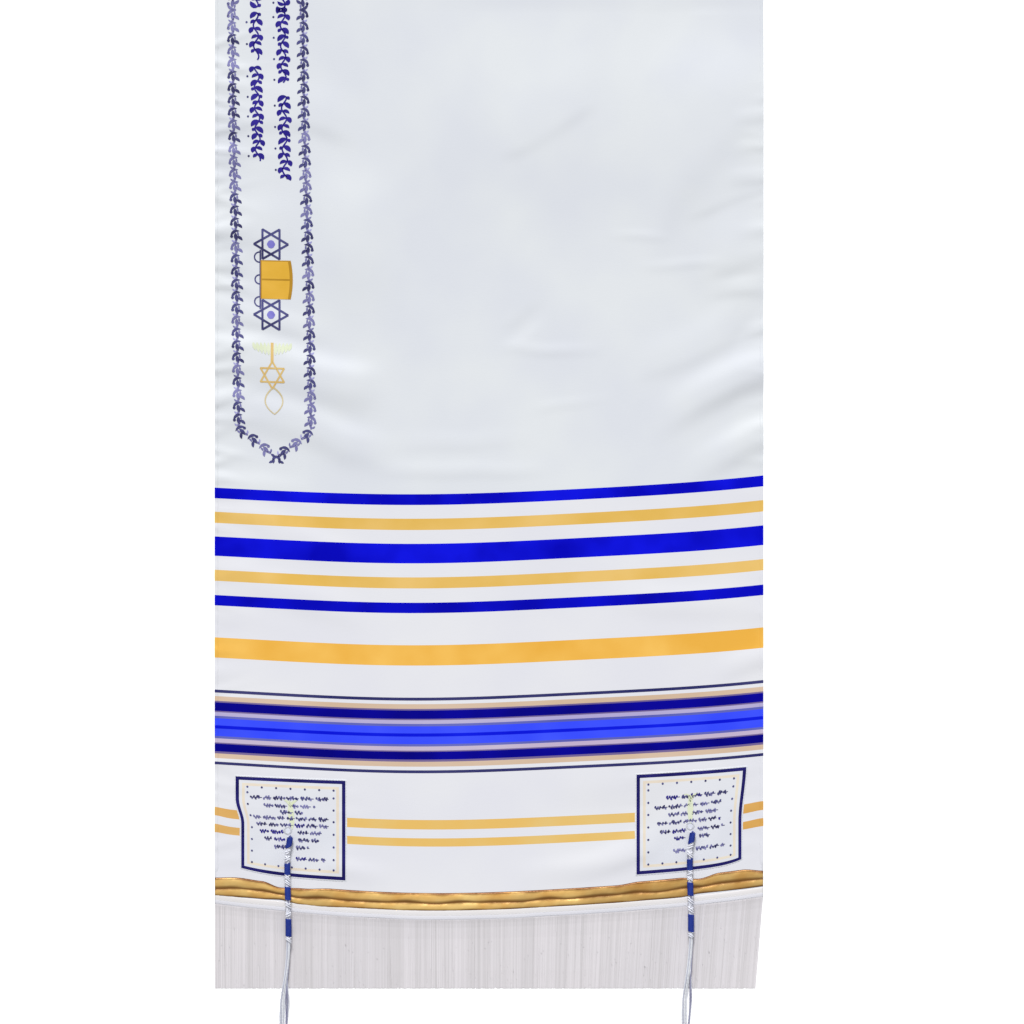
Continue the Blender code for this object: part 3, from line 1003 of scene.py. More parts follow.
fringe = {
    "pitch": 0.00076,
    "layers": 3,
    "root": 0.9205,
    "radius": 0.00062,
    "flat": 0.2,
    "level": 0.00020,
    "layerStep": 0.00020,
    "taper": 0.0080,
    "shares": (0.0, 0.02, 0.035, 0.08, 0.14, 0.3, 0.5, 0.75, 0.985, 1.0),  # where each thread has a ring
    "fall": (1, 1, 1, 0.62, 0.30, 0),  # how much of the cloth's height is left at the first of them
    "drop": 0.6,  # the tips sink by this share of their height
    "edge": 0.0006,
    "rootSpread": 0.00012,
    "tipSpread": 0.0005,
    "lengthSpread": 0.0007,
    "wander": 0.0007,
    "wanderSpread": 0.22,
    "clump": (0.0004, 0.011),  # size and pitch
    "tint": 0.42,  # greyer where it is higher: at the neck edge, in broad and narrow bands, thread by thread
    "tintLean": 0.4,
    "broadTint": (0.26, 0.046),
    "narrowTint": (0.22, 0.009),
    "tintSpread": 0.2,
}

trimLooks = {
    # the gold ribbon turns towards its marked brown in its hollows and at its edges: painted shade
    "goldRibbon": {"color": (255, 217, 136), "second": (222, 162, 76), "metal": 0.35, "rough": 0.36,
                   "gloss": 0.5, "across": 500, "along": 2400, "bump": 0.45, "size": 30, "threads": 0.3,
                   "mark": "paintedValleyShade", "marked": (112, 66, 4)},
    "brightTape": {"color": (223, 219, 218), "second": (227, 224, 225), "rough": 0.6, "sheen": 0.1,
                   "across": 900, "along": 900, "bump": 0.35},
    "greyTape": {"color": (216, 215, 222), "second": (222, 221, 228), "rough": 0.7,
                 "across": 900, "along": 900, "bump": 0.35},
    "fringeThread": {"color": (226, 221, 224), "second": (218, 214, 218), "rough": 0.8, "gloss": 0.15,
                     "across": 1200, "along": 90, "bump": 0.3, "threads": 0.3,
                     "mark": "tint", "marked": (202, 198, 200)},
}
goldRibbon, brightTape, greyTape, fringeThread = makeMaterials(trimLooks, {})


def swayOf(stops, across):
    # eases from stop to stop
    places, sways = (np.array(part) for part in zip(*stops))
    before, share = between(places, across)
    return sways[before] + (sways[before + 1] - sways[before]) * share**2 * (3 - 2 * share)


def makeRibbon(name, end):
    # two puffs side by side, with painted shade as three dark lines in the hollows beside them
    across = np.linspace(-shawl["halfWidth"], shawl["halfWidth"], ribbon["columns"])
    inner, outer = (ribbon[key] + swayOf(ribbon[key + "Sway"], -end * across) for key in ("inner", "outer"))
    width = outer - inner
    middle = ribbon["middle"] + sizedRipple(across, ribbon["middleSway"], name)
    cells = np.linspace(0, 1, ribbon["cells"] + 1)
    share = np.concatenate([cells[:, None] * middle, middle + cells[1:, None] * (1 - middle)])
    puffShare = np.concatenate([cells, cells[1:]])[:, None] + 0 * across
    second = (np.arange(len(puffShare)) > ribbon["cells"])[:, None]
    swelling = 1 + sizedRipple(across, ribbon["swell"], name + "swell") * np.where(second, -1, 1)
    creased = sizedRipple(across + ribbon["creaseSlant"] * share, ribbon["crease"], name + "crease")
    height = ribbon["puff"] * np.sin(np.pi * puffShare) * (swelling + creased) + ribbon["above"]
    points = onCloth(across[None, :], end * (inner + share * width))
    points[..., 2] += height
    # painted shade: dark lines in the hollows between and beside the puffs
    paintedValleyShade = np.zeros_like(share)
    for key, away in (("inner", share), ("middle", np.abs(share - middle)), ("outer", 1 - share)):
        strength, reach = ribbon["lines"][key]
        reach = reach * (1 + sizedRipple(across, ribbon["lineWander"], name + key))
        paintedValleyShade = np.maximum(paintedValleyShade, np.clip(strength - away * width / reach, 0, 1))
    # more painted shade over broad stretches of the ribbon
    paintedValleyShade += (1 - paintedValleyShade) * swayOf(ribbon["shade"], -end * across)
    mesh = newMesh()
    addGrid(mesh, points, flip=end < 0)
    piece = makeObject("ribbon_" + name, mesh, [goldRibbon], values={"paintedValleyShade": paintedValleyShade.ravel()})
    giveWall(piece, ribbon["wall"])
    standsFor(piece, "gold_ribbon", "gold_ribbon_" + name)
    return piece


def makeTape(name, end):
    # the heading tape, with two lines of stitches
    across = np.linspace(-shawl["halfWidth"], shawl["halfWidth"], tape["columns"])
    distance, height = (np.array(part)[:, None] for part in zip(*tape["profile"]))
    wander = sizedRipple(across, tape["wander"], name + "tape")
    gather = 1 + sizedRipple(across, tape["gather"], name + "gather")
    points = onCloth(across[None, :], end * (distance + wander))
    points[..., 2] += height * gather
    rows = np.where(np.arange(len(distance) - 1) < tape["brightRows"], 0, 1)[:, None]
    mesh = newMesh()
    addGrid(mesh, points, rows, flip=end < 0)
    piece = makeObject("tape_" + name, mesh, [brightTape, greyTape])
    giveWall(piece, tape["wall"])
    standsFor(piece, "white_tape", "end_tape_" + name)
    seam = newMesh()
    starts = np.arange(tape["stitchFrom"], tape["stitchTo"], tape["stitchPitch"])
    for distance in tape["stitchLines"]:
        low = onCloth(starts, end * distance, tape["stitchAbove"])
        high = onCloth(starts + tape["stitchLength"], end * distance, tape["stitchAbove"])
        addStitches(seam, low, high, tape["stitchRadius"])
    stitches = makeObject("tapeStitches_" + name, seam, stitchMaterials)
    standsFor(stitches, "white_tape")
    return [piece, stitches]


def makeFringe(name, end):
    # layers of single threads from under the tape to the table
    chance = np.random.default_rng(5 if end < 0 else 6)
    mesh = newMesh()
    tints = []
    corners = 4
    half = shawl["halfWidth"] - fringe["edge"]
    share = np.array(fringe["shares"])[None, :]
    risen = np.interp(share, fringe["shares"][: len(fringe["fall"])], fringe["fall"])
    for layer in range(fringe["layers"]):
        across = np.arange(-half, half, fringe["pitch"]) + fringe["pitch"] * layer / fringe["layers"]
        across = np.clip(across + chance.normal(0, fringe["rootSpread"], len(across)), -half, half)
        count = len(across)
        root = onCloth(across, np.full(count, end * fringe["root"]))
        drawnIn = fringe["taper"] * np.clip(across / shawl["halfWidth"], 0, 1)
        tipX = across - drawnIn + chance.normal(0, fringe["tipSpread"], count)
        tipY = end * (shawl["halfLength"] - np.abs(chance.normal(0, fringe["lengthSpread"], count)))
        bends = chance.normal(0, fringe["wanderSpread"], (count, 1))
        waver = fringe["wander"] * bends * np.sin(np.pi * share * chance.uniform(0.6, 1.6, (count, 1)))
        clumps = sizedRipple(across, fringe["clump"], name + str(layer))[:, None] * share
        lineX = root[:, :1] * (1 - share) + tipX[:, None] * share + waver + clumps
        lineX = np.clip(lineX, -half, half)
        lineY = root[:, 1:2] * (1 - share) + tipY[:, None] * share
        level = fringe["level"] + fringe["layerStep"] * layer
        sinking = 1 - fringe["drop"] * np.clip(share * 10 - 9, 0, 1)
        lineZ = level * sinking + (root[:, 2:] - 0.0001 - level) * risen
        threads = np.stack([lineX, lineY, lineZ], -1)
        addStrings(mesh, threads, fringe["radius"], corners=corners, flat=fringe["flat"], tip=0.95)
        tint = fringe["tint"] - fringe["tintLean"] * across
        for key, seed in (("broadTint", "broad"), ("narrowTint", "narrow")):
            tint = tint + sizedRipple(across, fringe[key], seed)
        tint = np.clip(tint + chance.normal(0, fringe["tintSpread"], count), 0, 1)
        tints.append(np.repeat(tint, len(fringe["shares"]) * corners))
    values = {"tint": np.concatenate(tints)}
    piece = makeObject("fringe_" + name + "Threads", mesh, [fringeThread], values=values)
    piece.data.shade_flat()
    standsFor(piece, "fringe_threads", "fringe_" + name)
    return piece


trims = []
for endName, end in ends.items():
    trims.append(makeRibbon(endName, end))
    trims += makeTape(endName, end)
    trims.append(makeFringe(endName, end))
print("ribbons, tapes and fringes made")

# Printed strokes: every motif is a set of strokes that widen and narrow along their length

inkFinish = {"gloss": 0.15, "rough": 0.5}
inkLooks = {
    "indigoInk": {"color": (38, 28, 128), "second": (52, 40, 146), "size": 60},
    "slateInk": {"color": (52, 50, 92), "second": (84, 84, 138), "size": 45},
    "duskInk": {"color": (104, 102, 150), "second": (134, 132, 182), "size": 45},
    "hazeInk": {"color": (150, 148, 204), "second": (174, 172, 216), "size": 45},
    "violetInk": {"color": (112, 106, 190), "second": (134, 130, 206), "size": 60},
    "goldInk": {"color": (218, 168, 52), "second": (228, 178, 68), "gloss": 0.25, "rough": 0.45, "size": 40},
    "bronzeInk": {"color": (172, 126, 28), "second": (188, 142, 46), "gloss": 0.25, "rough": 0.45, "size": 40},
    "paleGoldInk": {"color": (214, 178, 108), "second": (222, 192, 126), "gloss": 0.25, "size": 70},
    "dullInk": {"color": (200, 184, 142), "second": (212, 198, 162), "size": 60},
    "leafInk": {"color": (212, 220, 186), "second": (220, 226, 200), "gloss": 0.25, "size": 70},
}
inks = list(inkLooks)
inkMaterials = makeMaterials(inkLooks, inkFinish)


def addStroke(mesh, spine, width, ink, end, placer, above):
    # spine is in the print's own across and distance, placer lays it on the cloth or a patch
    spine = np.asarray(spine, float)
    width = np.broadcast_to(width, (len(spine),))[:, None]
    run = np.gradient(spine, axis=0)
    run /= np.linalg.norm(run, axis=1, keepdims=True) + 1e-12
    normal = np.stack([-run[:, 1], run[:, 0]], -1)
    across = np.array([-0.5, 0.0, 0.5])[None, :, None]
    flat = spine[:, None, :] + normal[:, None, :] * width[:, None, :] * across
    addGrid(mesh, placer(flat[..., 0], flat[..., 1], end, above), inks.index(ink), flip=end < 0)


def leaf(start, stop, width, bend=0.0, points=7):
    # a leaf stroke from start to stop, full in the middle and pointed at both ends
    start, stop = np.array(start, float), np.array(stop, float)
    share = np.linspace(0, 1, points)
    run = stop - start
    side = np.array([-run[1], run[0]]) * bend
    spine = start + share[:, None] * run + (4 * share * (1 - share))[:, None] * side
    return spine, width * (0.12 + 0.88 * np.sin(np.pi * share) ** 0.8)


def dot(middle, size):
    # a round dot, as a short stroke
    share = np.linspace(-1, 1, 6)
    spine = np.array(middle) + np.stack([share * size / 2, share * 0], -1)
    return spine, size * np.sqrt(np.clip(1.03 - share**2, 0, 1))


def placed(strokes, middle=(0, 0), turn=0.0, mirror=1):
    # the same strokes, mirrored, turned and moved
    turning = np.array([[math.cos(turn), -math.sin(turn)], [math.sin(turn), math.cos(turn)]])
    for ink, (spine, width) in strokes:
        yield ink, (spine * np.array([mirror, 1.0])) @ turning.T + np.array(middle), width


def onPanel(across, distance, end, above):
    return onCloth(across, end * distance, above)


neckPrint = {
    "above": 0.00022,
    "chains": [  # mirrored or not, the first sprig's place, pitch, stops of the line
        (1, 0.0065, 0.0125, [(-0.2618, 0.0), (-0.2606, 0.122), (-0.2581, 0.240), (-0.2569, 0.337),
                             (-0.2553, 0.424)]),
        (-1, 0.0065, 0.0125, [(-0.1906, 0.0), (-0.1888, 0.122), (-0.1853, 0.240), (-0.1834, 0.337),
                              (-0.1822, 0.424)]),
        (-1, 0.0, 0.0148, [(-0.2522, 0.4305), (-0.2402, 0.4385), (-0.2283, 0.4477), (-0.2215, 0.4535)]),
        (1, 0.0, 0.0148, [(-0.1864, 0.4322), (-0.1983, 0.4415), (-0.2103, 0.4501), (-0.2150, 0.4540)]),
    ],
    "paleShare": 0.3,  # of the sprigs
    "tip": (-0.2172, 0.4565),
    "columns": [  # across at mid-length, then where each piece of vine starts and stops
        (-0.2385, [(0.003, 0.052), (0.058, 0.156)]),
        (-0.2110, [(-0.002, 0.076), (0.088, 0.174)]),
    ],
    "columnLean": -0.016,
    "starMiddles": [0.2384, 0.3102],
    "middle": -0.2227,
    "starRadius": 0.0174,
    "starWidth": 0.0022,
    "stemWave": (0.0026, 0.021),  # size and pitch of each vine's stem
    "block": (-0.2334, -0.2026, 0.2547, 0.2940),  # left, right, near and far side
    "blockEdge": 0.0012,  # a darker line down its left side and across its near side
    "blockShade": 0.0030,  # and a broader one down its right side
    "blockFold": 0.0009,  # half the fold's width
    "sprig": (-0.2215, 0.3385),
}

chainSprig = [
    ("slateInk", leaf((-0.0055, 0.0005), (0.0035, -0.0058), 0.0030, -0.24)),
    ("slateInk", dot((-0.0046, -0.0002), 0.0032)),
    ("slateInk", leaf((-0.0007, -0.0038), (0.0008, 0.0040), 0.0040, 0.05)),
    ("slateInk", leaf((0.0004, 0.0002), (0.0063, 0.0038), 0.0031, -0.14)),
    ("duskInk", leaf((0.0006, 0.0020), (-0.0004, 0.0070), 0.0024, 0.1)),
    ("hazeInk", leaf((-0.0046, 0.0034), (-0.0006, 0.0056), 0.0018, 0.1)),
    ("duskInk", leaf((0.0020, -0.0052), (0.0027, -0.0008), 0.0020, 0.1)),
]
paleSprig = [("duskInk", stroke) for _, stroke in chainSprig]


def addStrokes(mesh, strokes, end, placer, above):
    for ink, spine, width in strokes:
        addStroke(mesh, spine, width, ink, end, placer, above)


def addChain(mesh, chain, end, chance):
    mirror, place, pitch, stops = chain
    line = smoothLine(stops, 0.004)
    lengths = np.concatenate([[0], np.cumsum(np.linalg.norm(np.diff(line, axis=0), axis=1))])
    while place < lengths[-1] - 0.004:
        middle, ahead = (
            [float(np.interp(at, lengths, line[:, part])) for part in (0, 1)] for at in (place, place + 0.004)
        )
        turn = math.atan2(-(ahead[0] - middle[0]), ahead[1] - middle[1])
        sprig = paleSprig if chance.random() < neckPrint["paleShare"] else chainSprig
        addStrokes(mesh, placed(sprig, middle, turn, mirror=mirror), end, onPanel, neckPrint["above"])
        place += pitch


def vineStrokes(start, stop, chance):
    # a bold wavy stem with leaves to both sides and berries beside it
    wave, pitch = neckPrint["stemWave"]
    stem = np.arange(start, stop, 0.002)
    strokes = [("indigoInk", (np.stack([wave * np.sin(stem * 2 * np.pi / pitch), stem], -1), 0.0016))]
    distance, index = start, 0
    while distance < stop - 0.006:
        side = 1 if index % 2 else -1
        middle = wave * math.sin(distance * 2 * math.pi / pitch)
        reach = chance.uniform(0.0054, 0.0064)
        tip, shortTip = (side * reach, distance + 0.0056), (-side * reach * 0.85, distance + 0.0034)
        strokes.append(("indigoInk", leaf((middle, distance), tip, 0.0050, -0.16 * side)))
        strokes.append(("indigoInk", leaf((middle, distance + 0.001), shortTip, 0.0036, 0.2 * side)))
        if index % 3 == 1:
            strokes.append(("slateInk", dot((-0.0094, distance + 0.002), 0.0022)))
        distance += chance.uniform(0.0064, 0.0078)
        index += 1
    return strokes


def starCorner(middle, radius, turn):
    return np.array(middle) + radius * np.array([math.cos(math.radians(turn)), math.sin(math.radians(turn))])


def crossedTriangles(ink, middle, radius, first, width):
    # each side is a line that runs a little past its corners
    share = np.linspace(-0.01, 1.01, 9)[:, None]
    strokes = []
    for turn in (0, 120, 240, 60, 180, 300):
        start, stop = (starCorner(middle, radius, first + turn + more) for more in (0, 120))
        strokes.append((ink, (start + share * (stop - start), width)))
    return strokes


def arcStroke(middle, radius, fromTurn, toTurn, width, points=12):
    turn = np.radians(np.linspace(fromTurn, toTurn, points))
    return np.array(middle) + radius * np.stack([np.cos(turn), np.sin(turn)], -1), width


def addBlock(mesh, end):
    # the gold block between the stars, with a fold line and shaded sides
    left, right, near, far = neckPrint["block"]
    rim, shade, fold = neckPrint["blockEdge"], neckPrint["blockShade"], neckPrint["blockFold"]
    middle, half = (near + far) / 2, (far - near) / 2
    columns = steps([left, left + rim, right - shade, right], 0.0030)
    rows = steps([near, near + rim, middle - fold, middle + fold, far], 0.0030)
    middleX, middleD = (columns[1:] + columns[:-1]) / 2, (rows[1:] + rows[:-1]) / 2
    darkRows = (np.abs(middleD - middle) < fold) | (middleD < near + rim)
    dark = darkRows[:, None] | (middleX > right - shade) | (middleX < left + rim)
    slots = np.where(dark, inks.index("bronzeInk"), inks.index("goldInk"))
    bulge = 1 + 0.07 * (1 - ((rows - middle) / half) ** 2)
    across = left + (columns[None, :] - left) * bulge[:, None]
    addGrid(mesh, onPanel(across, rows[:, None], end, neckPrint["above"] + 0.00008), slots, flip=end < 0)


def sprigStrokes():
    # a slender gold ornament: a comb of pale leaves, a stem, a small star and a leaf-shaped loop
    strokes = []
    for row in (*range(-5, 0), *range(1, 6)):
        foot = 0.0130 - 0.00020 * row**2
        strokes.append(("leafInk", leaf((row * 0.0039, 0.0000), (row * 0.0034, foot), 0.0036)))
    strokes.append(("paleGoldInk", (np.array([(0.0, 0.0), (0.0, 0.0110), (0.0, 0.0205)]), 0.0030)))
    strokes += crossedTriangles("paleGoldInk", (0.0002, 0.0330), 0.0139, 30, 0.0018)
    for bend in (-0.33, 0.33):
        spine, _ = leaf((0.0012, 0.0455), (0.0026, 0.0728), 0.001, bend, 13)
        strokes.append(("dullInk", (spine, np.linspace(0.0017, 0.0011, 13))))
    return strokes


def makeNeckPrint(name, end):
    mesh = newMesh()
    chance = random.Random(4)
    above = neckPrint["above"]
    for chain in neckPrint["chains"]:
        addChain(mesh, chain, end, chance)
    knot = [("slateInk", arcStroke((0, 0.0012), 0.0031, 175, 365, 0.0028))]
    for way in (-1, 1):
        knot.append(("slateInk", leaf((way * 0.0031, -0.0002), (way * 0.0031, 0.0050), 0.0030)))
        knot.append(("slateInk", leaf((way * 0.0030, 0.0022), (way * 0.0076, 0.0046), 0.0026)))
        knot.append(("slateInk", leaf((way * 0.0012, -0.0016), (way * 0.0054, -0.0046), 0.0028)))
    addStrokes(mesh, placed(knot, neckPrint["tip"]), end, onPanel, above)
    for across, pieces in neckPrint["columns"]:
        for start, stop in pieces:
            vine = placed(vineStrokes(start, stop, chance), (across, 0.0), neckPrint["columnLean"])
            addStrokes(mesh, vine, end, onPanel, above)
    star = crossedTriangles("slateInk", (0, 0), neckPrint["starRadius"], 0, neckPrint["starWidth"])
    star.append(("violetInk", dot((0, 0), 0.0082)))
    for distance in neckPrint["starMiddles"]:
        addStrokes(mesh, placed(star, (neckPrint["middle"], distance)), end, onPanel, above)
    left, _, near, far = neckPrint["block"]
    rodSpine = np.stack([np.full(20, left - 0.0002), np.linspace(near - 0.0105, far + 0.0105, 20)], -1)
    rod = [("slateInk", (rodSpine, 0.0017))]
    for distance, radius in ((near - 0.0030, 0.0052), ((near + far) / 2, 0.0046), (far + 0.0030, 0.0050)):
        rod.append(("slateInk", arcStroke((left - 0.0010, distance), radius, 90, 270, 0.0014)))
    addStrokes(mesh, placed(rod), end, onPanel, above)
    addBlock(mesh, end)
    addStrokes(mesh, placed(sprigStrokes(), neckPrint["sprig"]), end, onPanel, above)
    piece = makeObject("neckPrint_" + name, mesh, inkMaterials)
    standsFor(piece, "white_satin")
    return piece


prints = [makeNeckPrint(name, end) for name, end in ends.items()]
print("neck prints made")

# Corner patches

patchLooks = {
    "patchSatin": {"color": (218, 220, 228), "second": (226, 226, 229), "gloss": 0.3, "rough": 0.42,
                   "sheen": 0.1},
    "patchBorder": {"color": (22, 18, 84), "second": (36, 32, 108), "gloss": 0.12, "rough": 0.45, "size": 40},
    "patchLine": {"color": (226, 212, 194), "second": (230, 220, 202), "gloss": 0.25, "rough": 0.5, "size": 50},
}
patchMaterials = makeMaterials(patchLooks, {})

stitching = {"inset": 0.0012, "pitch": 0.0031, "length": 0.0020, "above": 0.0001, "radius": 0.00014}

patchRows = {  # rows of small garlands: place outwards from the middle, from, to
    "neck": [
        (-0.0303, -0.0405, 0.0389),
        (-0.0221, -0.0270, 0.0252),
        (-0.0154, -0.0110, 0.0120),
        (-0.0092, -0.0405, 0.0389),
        (-0.0022, -0.0385, 0.0389),
        (0.0052, -0.0345, -0.0075),
        (0.0052, 0.0066, 0.0316),
        (0.0128, -0.0295, -0.0075),
        (0.0128, 0.0066, 0.0290),
        (0.0208, -0.0190, -0.0060),
        (0.0208, 0.0045, 0.0186),
        (0.0322, 0.0050, 0.0358),
    ],
    "free": [
        (-0.0264, -0.0256, 0.0388),
        (-0.0172, -0.0372, 0.0326),
        (-0.0092, -0.0226, 0.0296),
        (-0.0010, -0.0348, 0.0332),
        (0.0082, -0.0318, -0.0040),
        (0.0082, 0.0086, 0.0377),
        (0.0160, -0.0165, -0.0050),
        (0.0160, 0.0098, 0.0214),
        (0.0290, -0.0170, -0.0040),
        (0.0290, 0.0062, 0.0378),
    ],
}


def patchPlace(right, out, side, end, above):
    # right and out are in metres from the patch's middle, out grows away from mid-length
    name = sideNames[side]
    share = np.clip(side * right / patch["halfWidth"], -1, 1) / 2 + 0.5
    low = np.clip((out - patch["pullFrom"][name]) / patch["pullOver"][name], 0, 1)
    pull = patch["pullIn"][name] * share**2 * low * low * (3 - 2 * low)
    outwards = np.clip(out / patch["halfHeight"] / 2 + 0.5, 0, 1)
    rise = patch["pullUp"][name] * share ** patch["pullBend"][name] * outwards**2
    across = side * patch["across"][name] + right - side * pull
    along = end * (patch["along"] + out - rise + patch["tilt"][name] * share)
    fromSide, fromEnd = patch["halfWidth"] - np.abs(right), patch["halfHeight"] - np.abs(out)
    edge = np.minimum(fromSide, fromEnd)
    border = np.where(fromSide < fromEnd, out, right)
    rollHeight, rollPlace, rollReach = patch["roll"]
    rolled = rollHeight * np.exp(-(((edge - rollPlace) / rollReach) ** 2))
    sewn = patch["lift"] * (1 - np.exp(-edge / patch["liftReach"])) - patch["sunk"]
    size, pitch, reach, start = patch["edgeGather"]
    gather = size * ripple(border, pitch, f"{side}{end}")
    gather *= np.exp(-edge / reach) * (1 - np.exp(-edge / start))
    uneven = 1 + 0.5 * ripple(right + 0.6 * out, patch["puffPitch"], side)
    puff = patch["puff"] * (1 - np.exp(-edge / patch["puffReach"])) * uneven
    return onCloth(across, along, above + sewn + rolled + gather + puff)


def patchPlacer(side):
    # what lays a stroke on a patch of this side
    def placer(right, out, end, above):
        return patchPlace(right, out, side, end, above)
    return placer


def patchLines(half):
    # mesh lines from edge to edge, close where the border's rings are
    rings = [half - ring for ring in patch["rings"]]
    inner = steps([-rings[-1], rings[-1]], patch["cell"])
    outer = [half - 0.0001, half - 0.0008, *rings]
    return np.concatenate([[-half], [-line for line in outer], inner[1:-1], outer[::-1], [half]])


patchDots = {"reach": 0.0440, "count": 7, "inner": -0.0404, "outer": 0.0412, "size": 0.0022}
sideDots = (-0.0345, -0.0219, -0.0098, 0.0030, 0.0158, 0.0286)


def dotStrokes():
    # a row of dots along each side
    reach = patchDots["reach"]
    dots = []
    for right in np.linspace(-reach, reach, patchDots["count"]):
        dots += [(right, patchDots["inner"]), (right, patchDots["outer"])]
    for out in sideDots:
        dots += [(-reach, out), (reach, out + 0.0022)]
    return [("slateInk", dot(middle, patchDots["size"])) for middle in dots]


garland = {  # least and most of each
    "stem": (0.0075, 0.0145),
    "gap": (0.0016, 0.0024),
    "leafPitch": (0.0012, 0.0016),
    "leafReach": (0.0016, 0.0026),
    "leafLean": (-0.0006, 0.0018),
    "leafWidth": 0.0021,
    "berry": 0.0026,
}


def garlandStrokes(out, left, right, slope, chance):
    # bunches of small leaves to both sides of a thin stem, and a berry now and then
    strokes = []
    x, index = left, 0
    while x < right - 0.002:
        stop = min(right, x + chance.uniform(*garland["stem"]))
        if right - stop < 0.004:
            stop = right
        stem = np.linspace(x, stop, 6)
        strokes.append(("slateInk", (np.stack([stem, out + slope * stem], -1), 0.0007)))
        ink = chance.choice(("indigoInk", "slateInk", "slateInk", "duskInk"))
        x += 0.0004
        while x < stop - 0.0014:
            way = 1 if index % 2 else -1
            reach, lean = chance.uniform(*garland["leafReach"]), chance.uniform(*garland["leafLean"])
            level = out + slope * x
            shade = "duskInk" if chance.random() < 0.25 else ink
            if index % 7 == 5:
                shape = dot((x + 0.0008, level), garland["berry"])
            else:
                tip = (x + lean, level + way * reach)
                shape = leaf((x, level - way * 0.0005), tip, garland["leafWidth"], 0.12 * way)
            strokes.append((shade, shape))
            x += chance.uniform(*garland["leafPitch"])
            index += 1
        x = stop + chance.uniform(*garland["gap"])
    return strokes


def addEdgeStitches(mesh, placer, end):
    # a stitched line round the patch, just inside its edge
    inset = (patch["halfWidth"] - stitching["inset"], patch["halfHeight"] - stitching["inset"])
    for way in (-1, 1):
        for part in (0, 1):
            start = np.arange(-inset[part], inset[part] - stitching["length"], stitching["pitch"])
            edge = np.full(len(start), way * inset[1 - part])
            points = []
            for run in (start, start + stitching["length"]):
                right, out = (edge, run) if part else (run, edge)
                points.append(placer(right, out, end, stitching["above"]))
            addStitches(mesh, *points, stitching["radius"])


def makePatch(name, end, side):
    columns, rows = patchLines(patch["halfWidth"]), patchLines(patch["halfHeight"])
    mesh = newMesh()
    points = patchPlace(*np.meshgrid(columns, rows), side, end, 0.0)
    middleX, middleD = (columns[1:] + columns[:-1]) / 2, (rows[1:] + rows[:-1]) / 2
    fromSide, fromEnd = patch["halfWidth"] - np.abs(middleX), patch["halfHeight"] - np.abs(middleD)
    edge = np.minimum(fromSide[None, :], fromEnd[:, None])
    margin, border, gap, line = patch["rings"]
    slots = np.where((edge > margin) & (edge < border), 1, np.where((edge > gap) & (edge < line), 2, 0))
    addGrid(mesh, points, slots, flip=end < 0)
    piece = makeObject("patch_" + name, mesh, patchMaterials)
    giveWall(piece, patch["wall"])
    standsFor(piece, "printed_satin", "corner_patch_" + name)
    printing = newMesh()
    chance = random.Random(name)
    placer = patchPlacer(side)
    strokes = dotStrokes()
    slope = patch["rowSlope"][sideNames[side]]
    for out, left, right in patchRows[sideNames[side]]:
        strokes += garlandStrokes(out, left, right, slope, chance)
    strokes.append(("leafInk", leaf((-0.0006, -0.0280), (0.0004, 0.0020), 0.0062)))
    for way in (-1, 1):
        tip = (way * 0.0070, -0.0285)
        strokes.append(("leafInk", leaf((way * 0.0004, -0.0200), tip, 0.0030, -0.2 * way)))
    addStrokes(printing, placed(strokes), end, placer, patch["printAbove"])
    ornament = makeObject("patchPrint_" + name, printing, inkMaterials)
    standsFor(ornament, "printed_satin")
    seam = newMesh()
    addEdgeStitches(seam, placer, end)
    stitches = makeObject("patchStitches_" + name, seam, stitchMaterials)
    standsFor(stitches, "printed_satin")


eyelet = {
    "stitches": 34,
    "inner": 0.0024,  # where the stitches start, from the middle
    "outer": 0.0046,
    "thread": 0.00022,
    "crown": 0.0002,
    "hole": 0.0026,
}


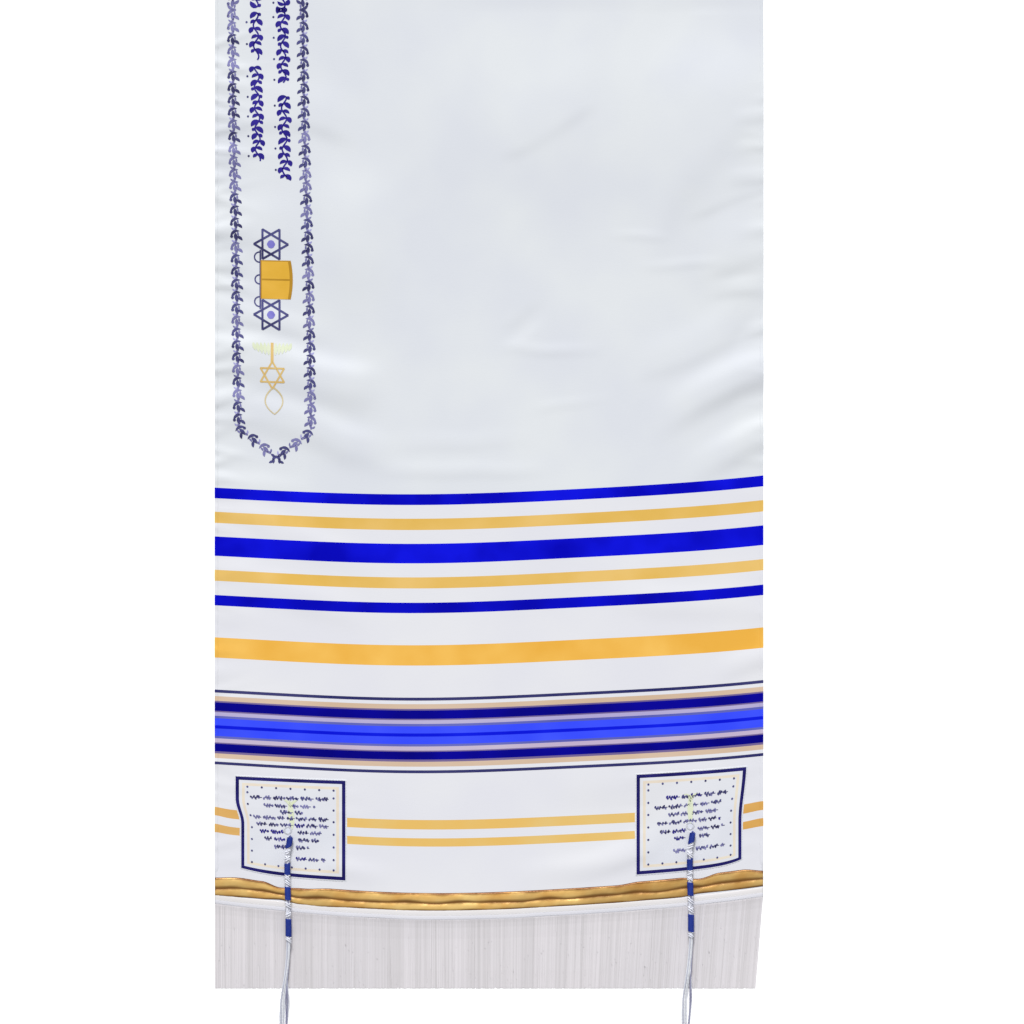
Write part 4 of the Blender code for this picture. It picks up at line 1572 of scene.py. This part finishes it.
def makeEyelet(name, end, side):
    # a ring of close stitches, and the cloth seen through the hole
    x, y = clothPoint(side * patch["eyeletAcross"], end * patch["eyeletAlong"])
    right = side * (patch["eyeletAcross"] - patch["across"][sideNames[side]])
    base = patchPlace(right, patch["eyeletAlong"] - patch["along"], side, end, 0.0)[2]
    mesh = newMesh()
    count = eyelet["stitches"]
    turn = np.linspace(0, 2 * np.pi, count, endpoint=False)
    ways = np.stack([np.cos(turn), np.sin(turn)], -1)
    share = np.linspace(0, 1, 5)
    reach = eyelet["inner"] + (eyelet["outer"] - eyelet["inner"]) * share
    height = base + 0.0001 + eyelet["crown"] * np.sin(np.pi * share)
    lines = np.stack([x + ways[:, :1] * reach, y + ways[:, 1:] * reach, height + 0 * ways[:, :1]], -1)
    addStrings(mesh, lines, eyelet["thread"], corners=5)
    rim = (x, y) + eyelet["hole"] * ways
    start = addPoints(mesh, np.column_stack([rim, np.full(count, base + 0.00012)]))
    addFaces(mesh, [list(range(start, start + count))], list(stitchLooks).index("eyeletHole"))
    piece = makeObject("eyeletRing_" + name, mesh, stitchMaterials)
    standsFor(piece, "white_stitches", "eyelet_" + name)


for corner in fourCorners:
    makePatch(*corner)
    makeEyelet(*corner)
print("patches and eyelets made")

# Floor and light

light = {
    "world": (0.97, 0.985, 1.0),
    "worldStrength": 0.50,
    "sunHeight": 37,  # degrees over the table, shining from mid-length towards the shown end
    "sunTurn": 4,
    "sunSpread": 16,
    "sunPower": 3.0,
    "floorSize": 18.0,
    "floorGlow": 0.28,  # the table is lit from below, which softens the shadows on it
}


def makeFloor():
    mesh = newMesh()
    side = np.array([-0.5, 0.5]) * light["floorSize"]
    across, along = np.meshgrid(side, side)
    addGrid(mesh, np.stack([across, along, 0 * across - 0.0001], -1))
    material = bpy.data.materials.new("paleFloor")
    material.use_nodes = True
    shader = material.node_tree.nodes["Principled BSDF"]
    shader.inputs["Base Color"].default_value = (0.97, 0.97, 0.97, 1)
    shader.inputs["Roughness"].default_value = 0.9
    shader.inputs["Specular IOR Level"].default_value = 0.1
    shader.inputs["Emission Color"].default_value = (1, 1, 1, 1)
    shader.inputs["Emission Strength"].default_value = light["floorGlow"]
    makeObject("paleFloor", mesh, [material], smooth=False)


def makeLight():
    world = bpy.data.worlds.new("paleStudio")
    world.use_nodes = True
    background = world.node_tree.nodes["Background"]
    background.inputs["Color"].default_value = (*light["world"], 1)
    background.inputs["Strength"].default_value = light["worldStrength"]
    bpy.context.scene.world = world
    lamp = bpy.data.lights.new("windowSun", "SUN")
    lamp.energy = light["sunPower"]
    lamp.angle = math.radians(light["sunSpread"])
    sun = bpy.data.objects.new("windowSun", lamp)
    sun.location = (0, 2, 2)
    sun.rotation_euler = (-math.radians(90 - light["sunHeight"]), 0, math.radians(light["sunTurn"]))
    bpy.context.scene.collection.objects.link(sun)
    bpy.context.scene.view_settings.view_transform = "Standard"


makeFloor()
makeLight()
print("floor and light set")
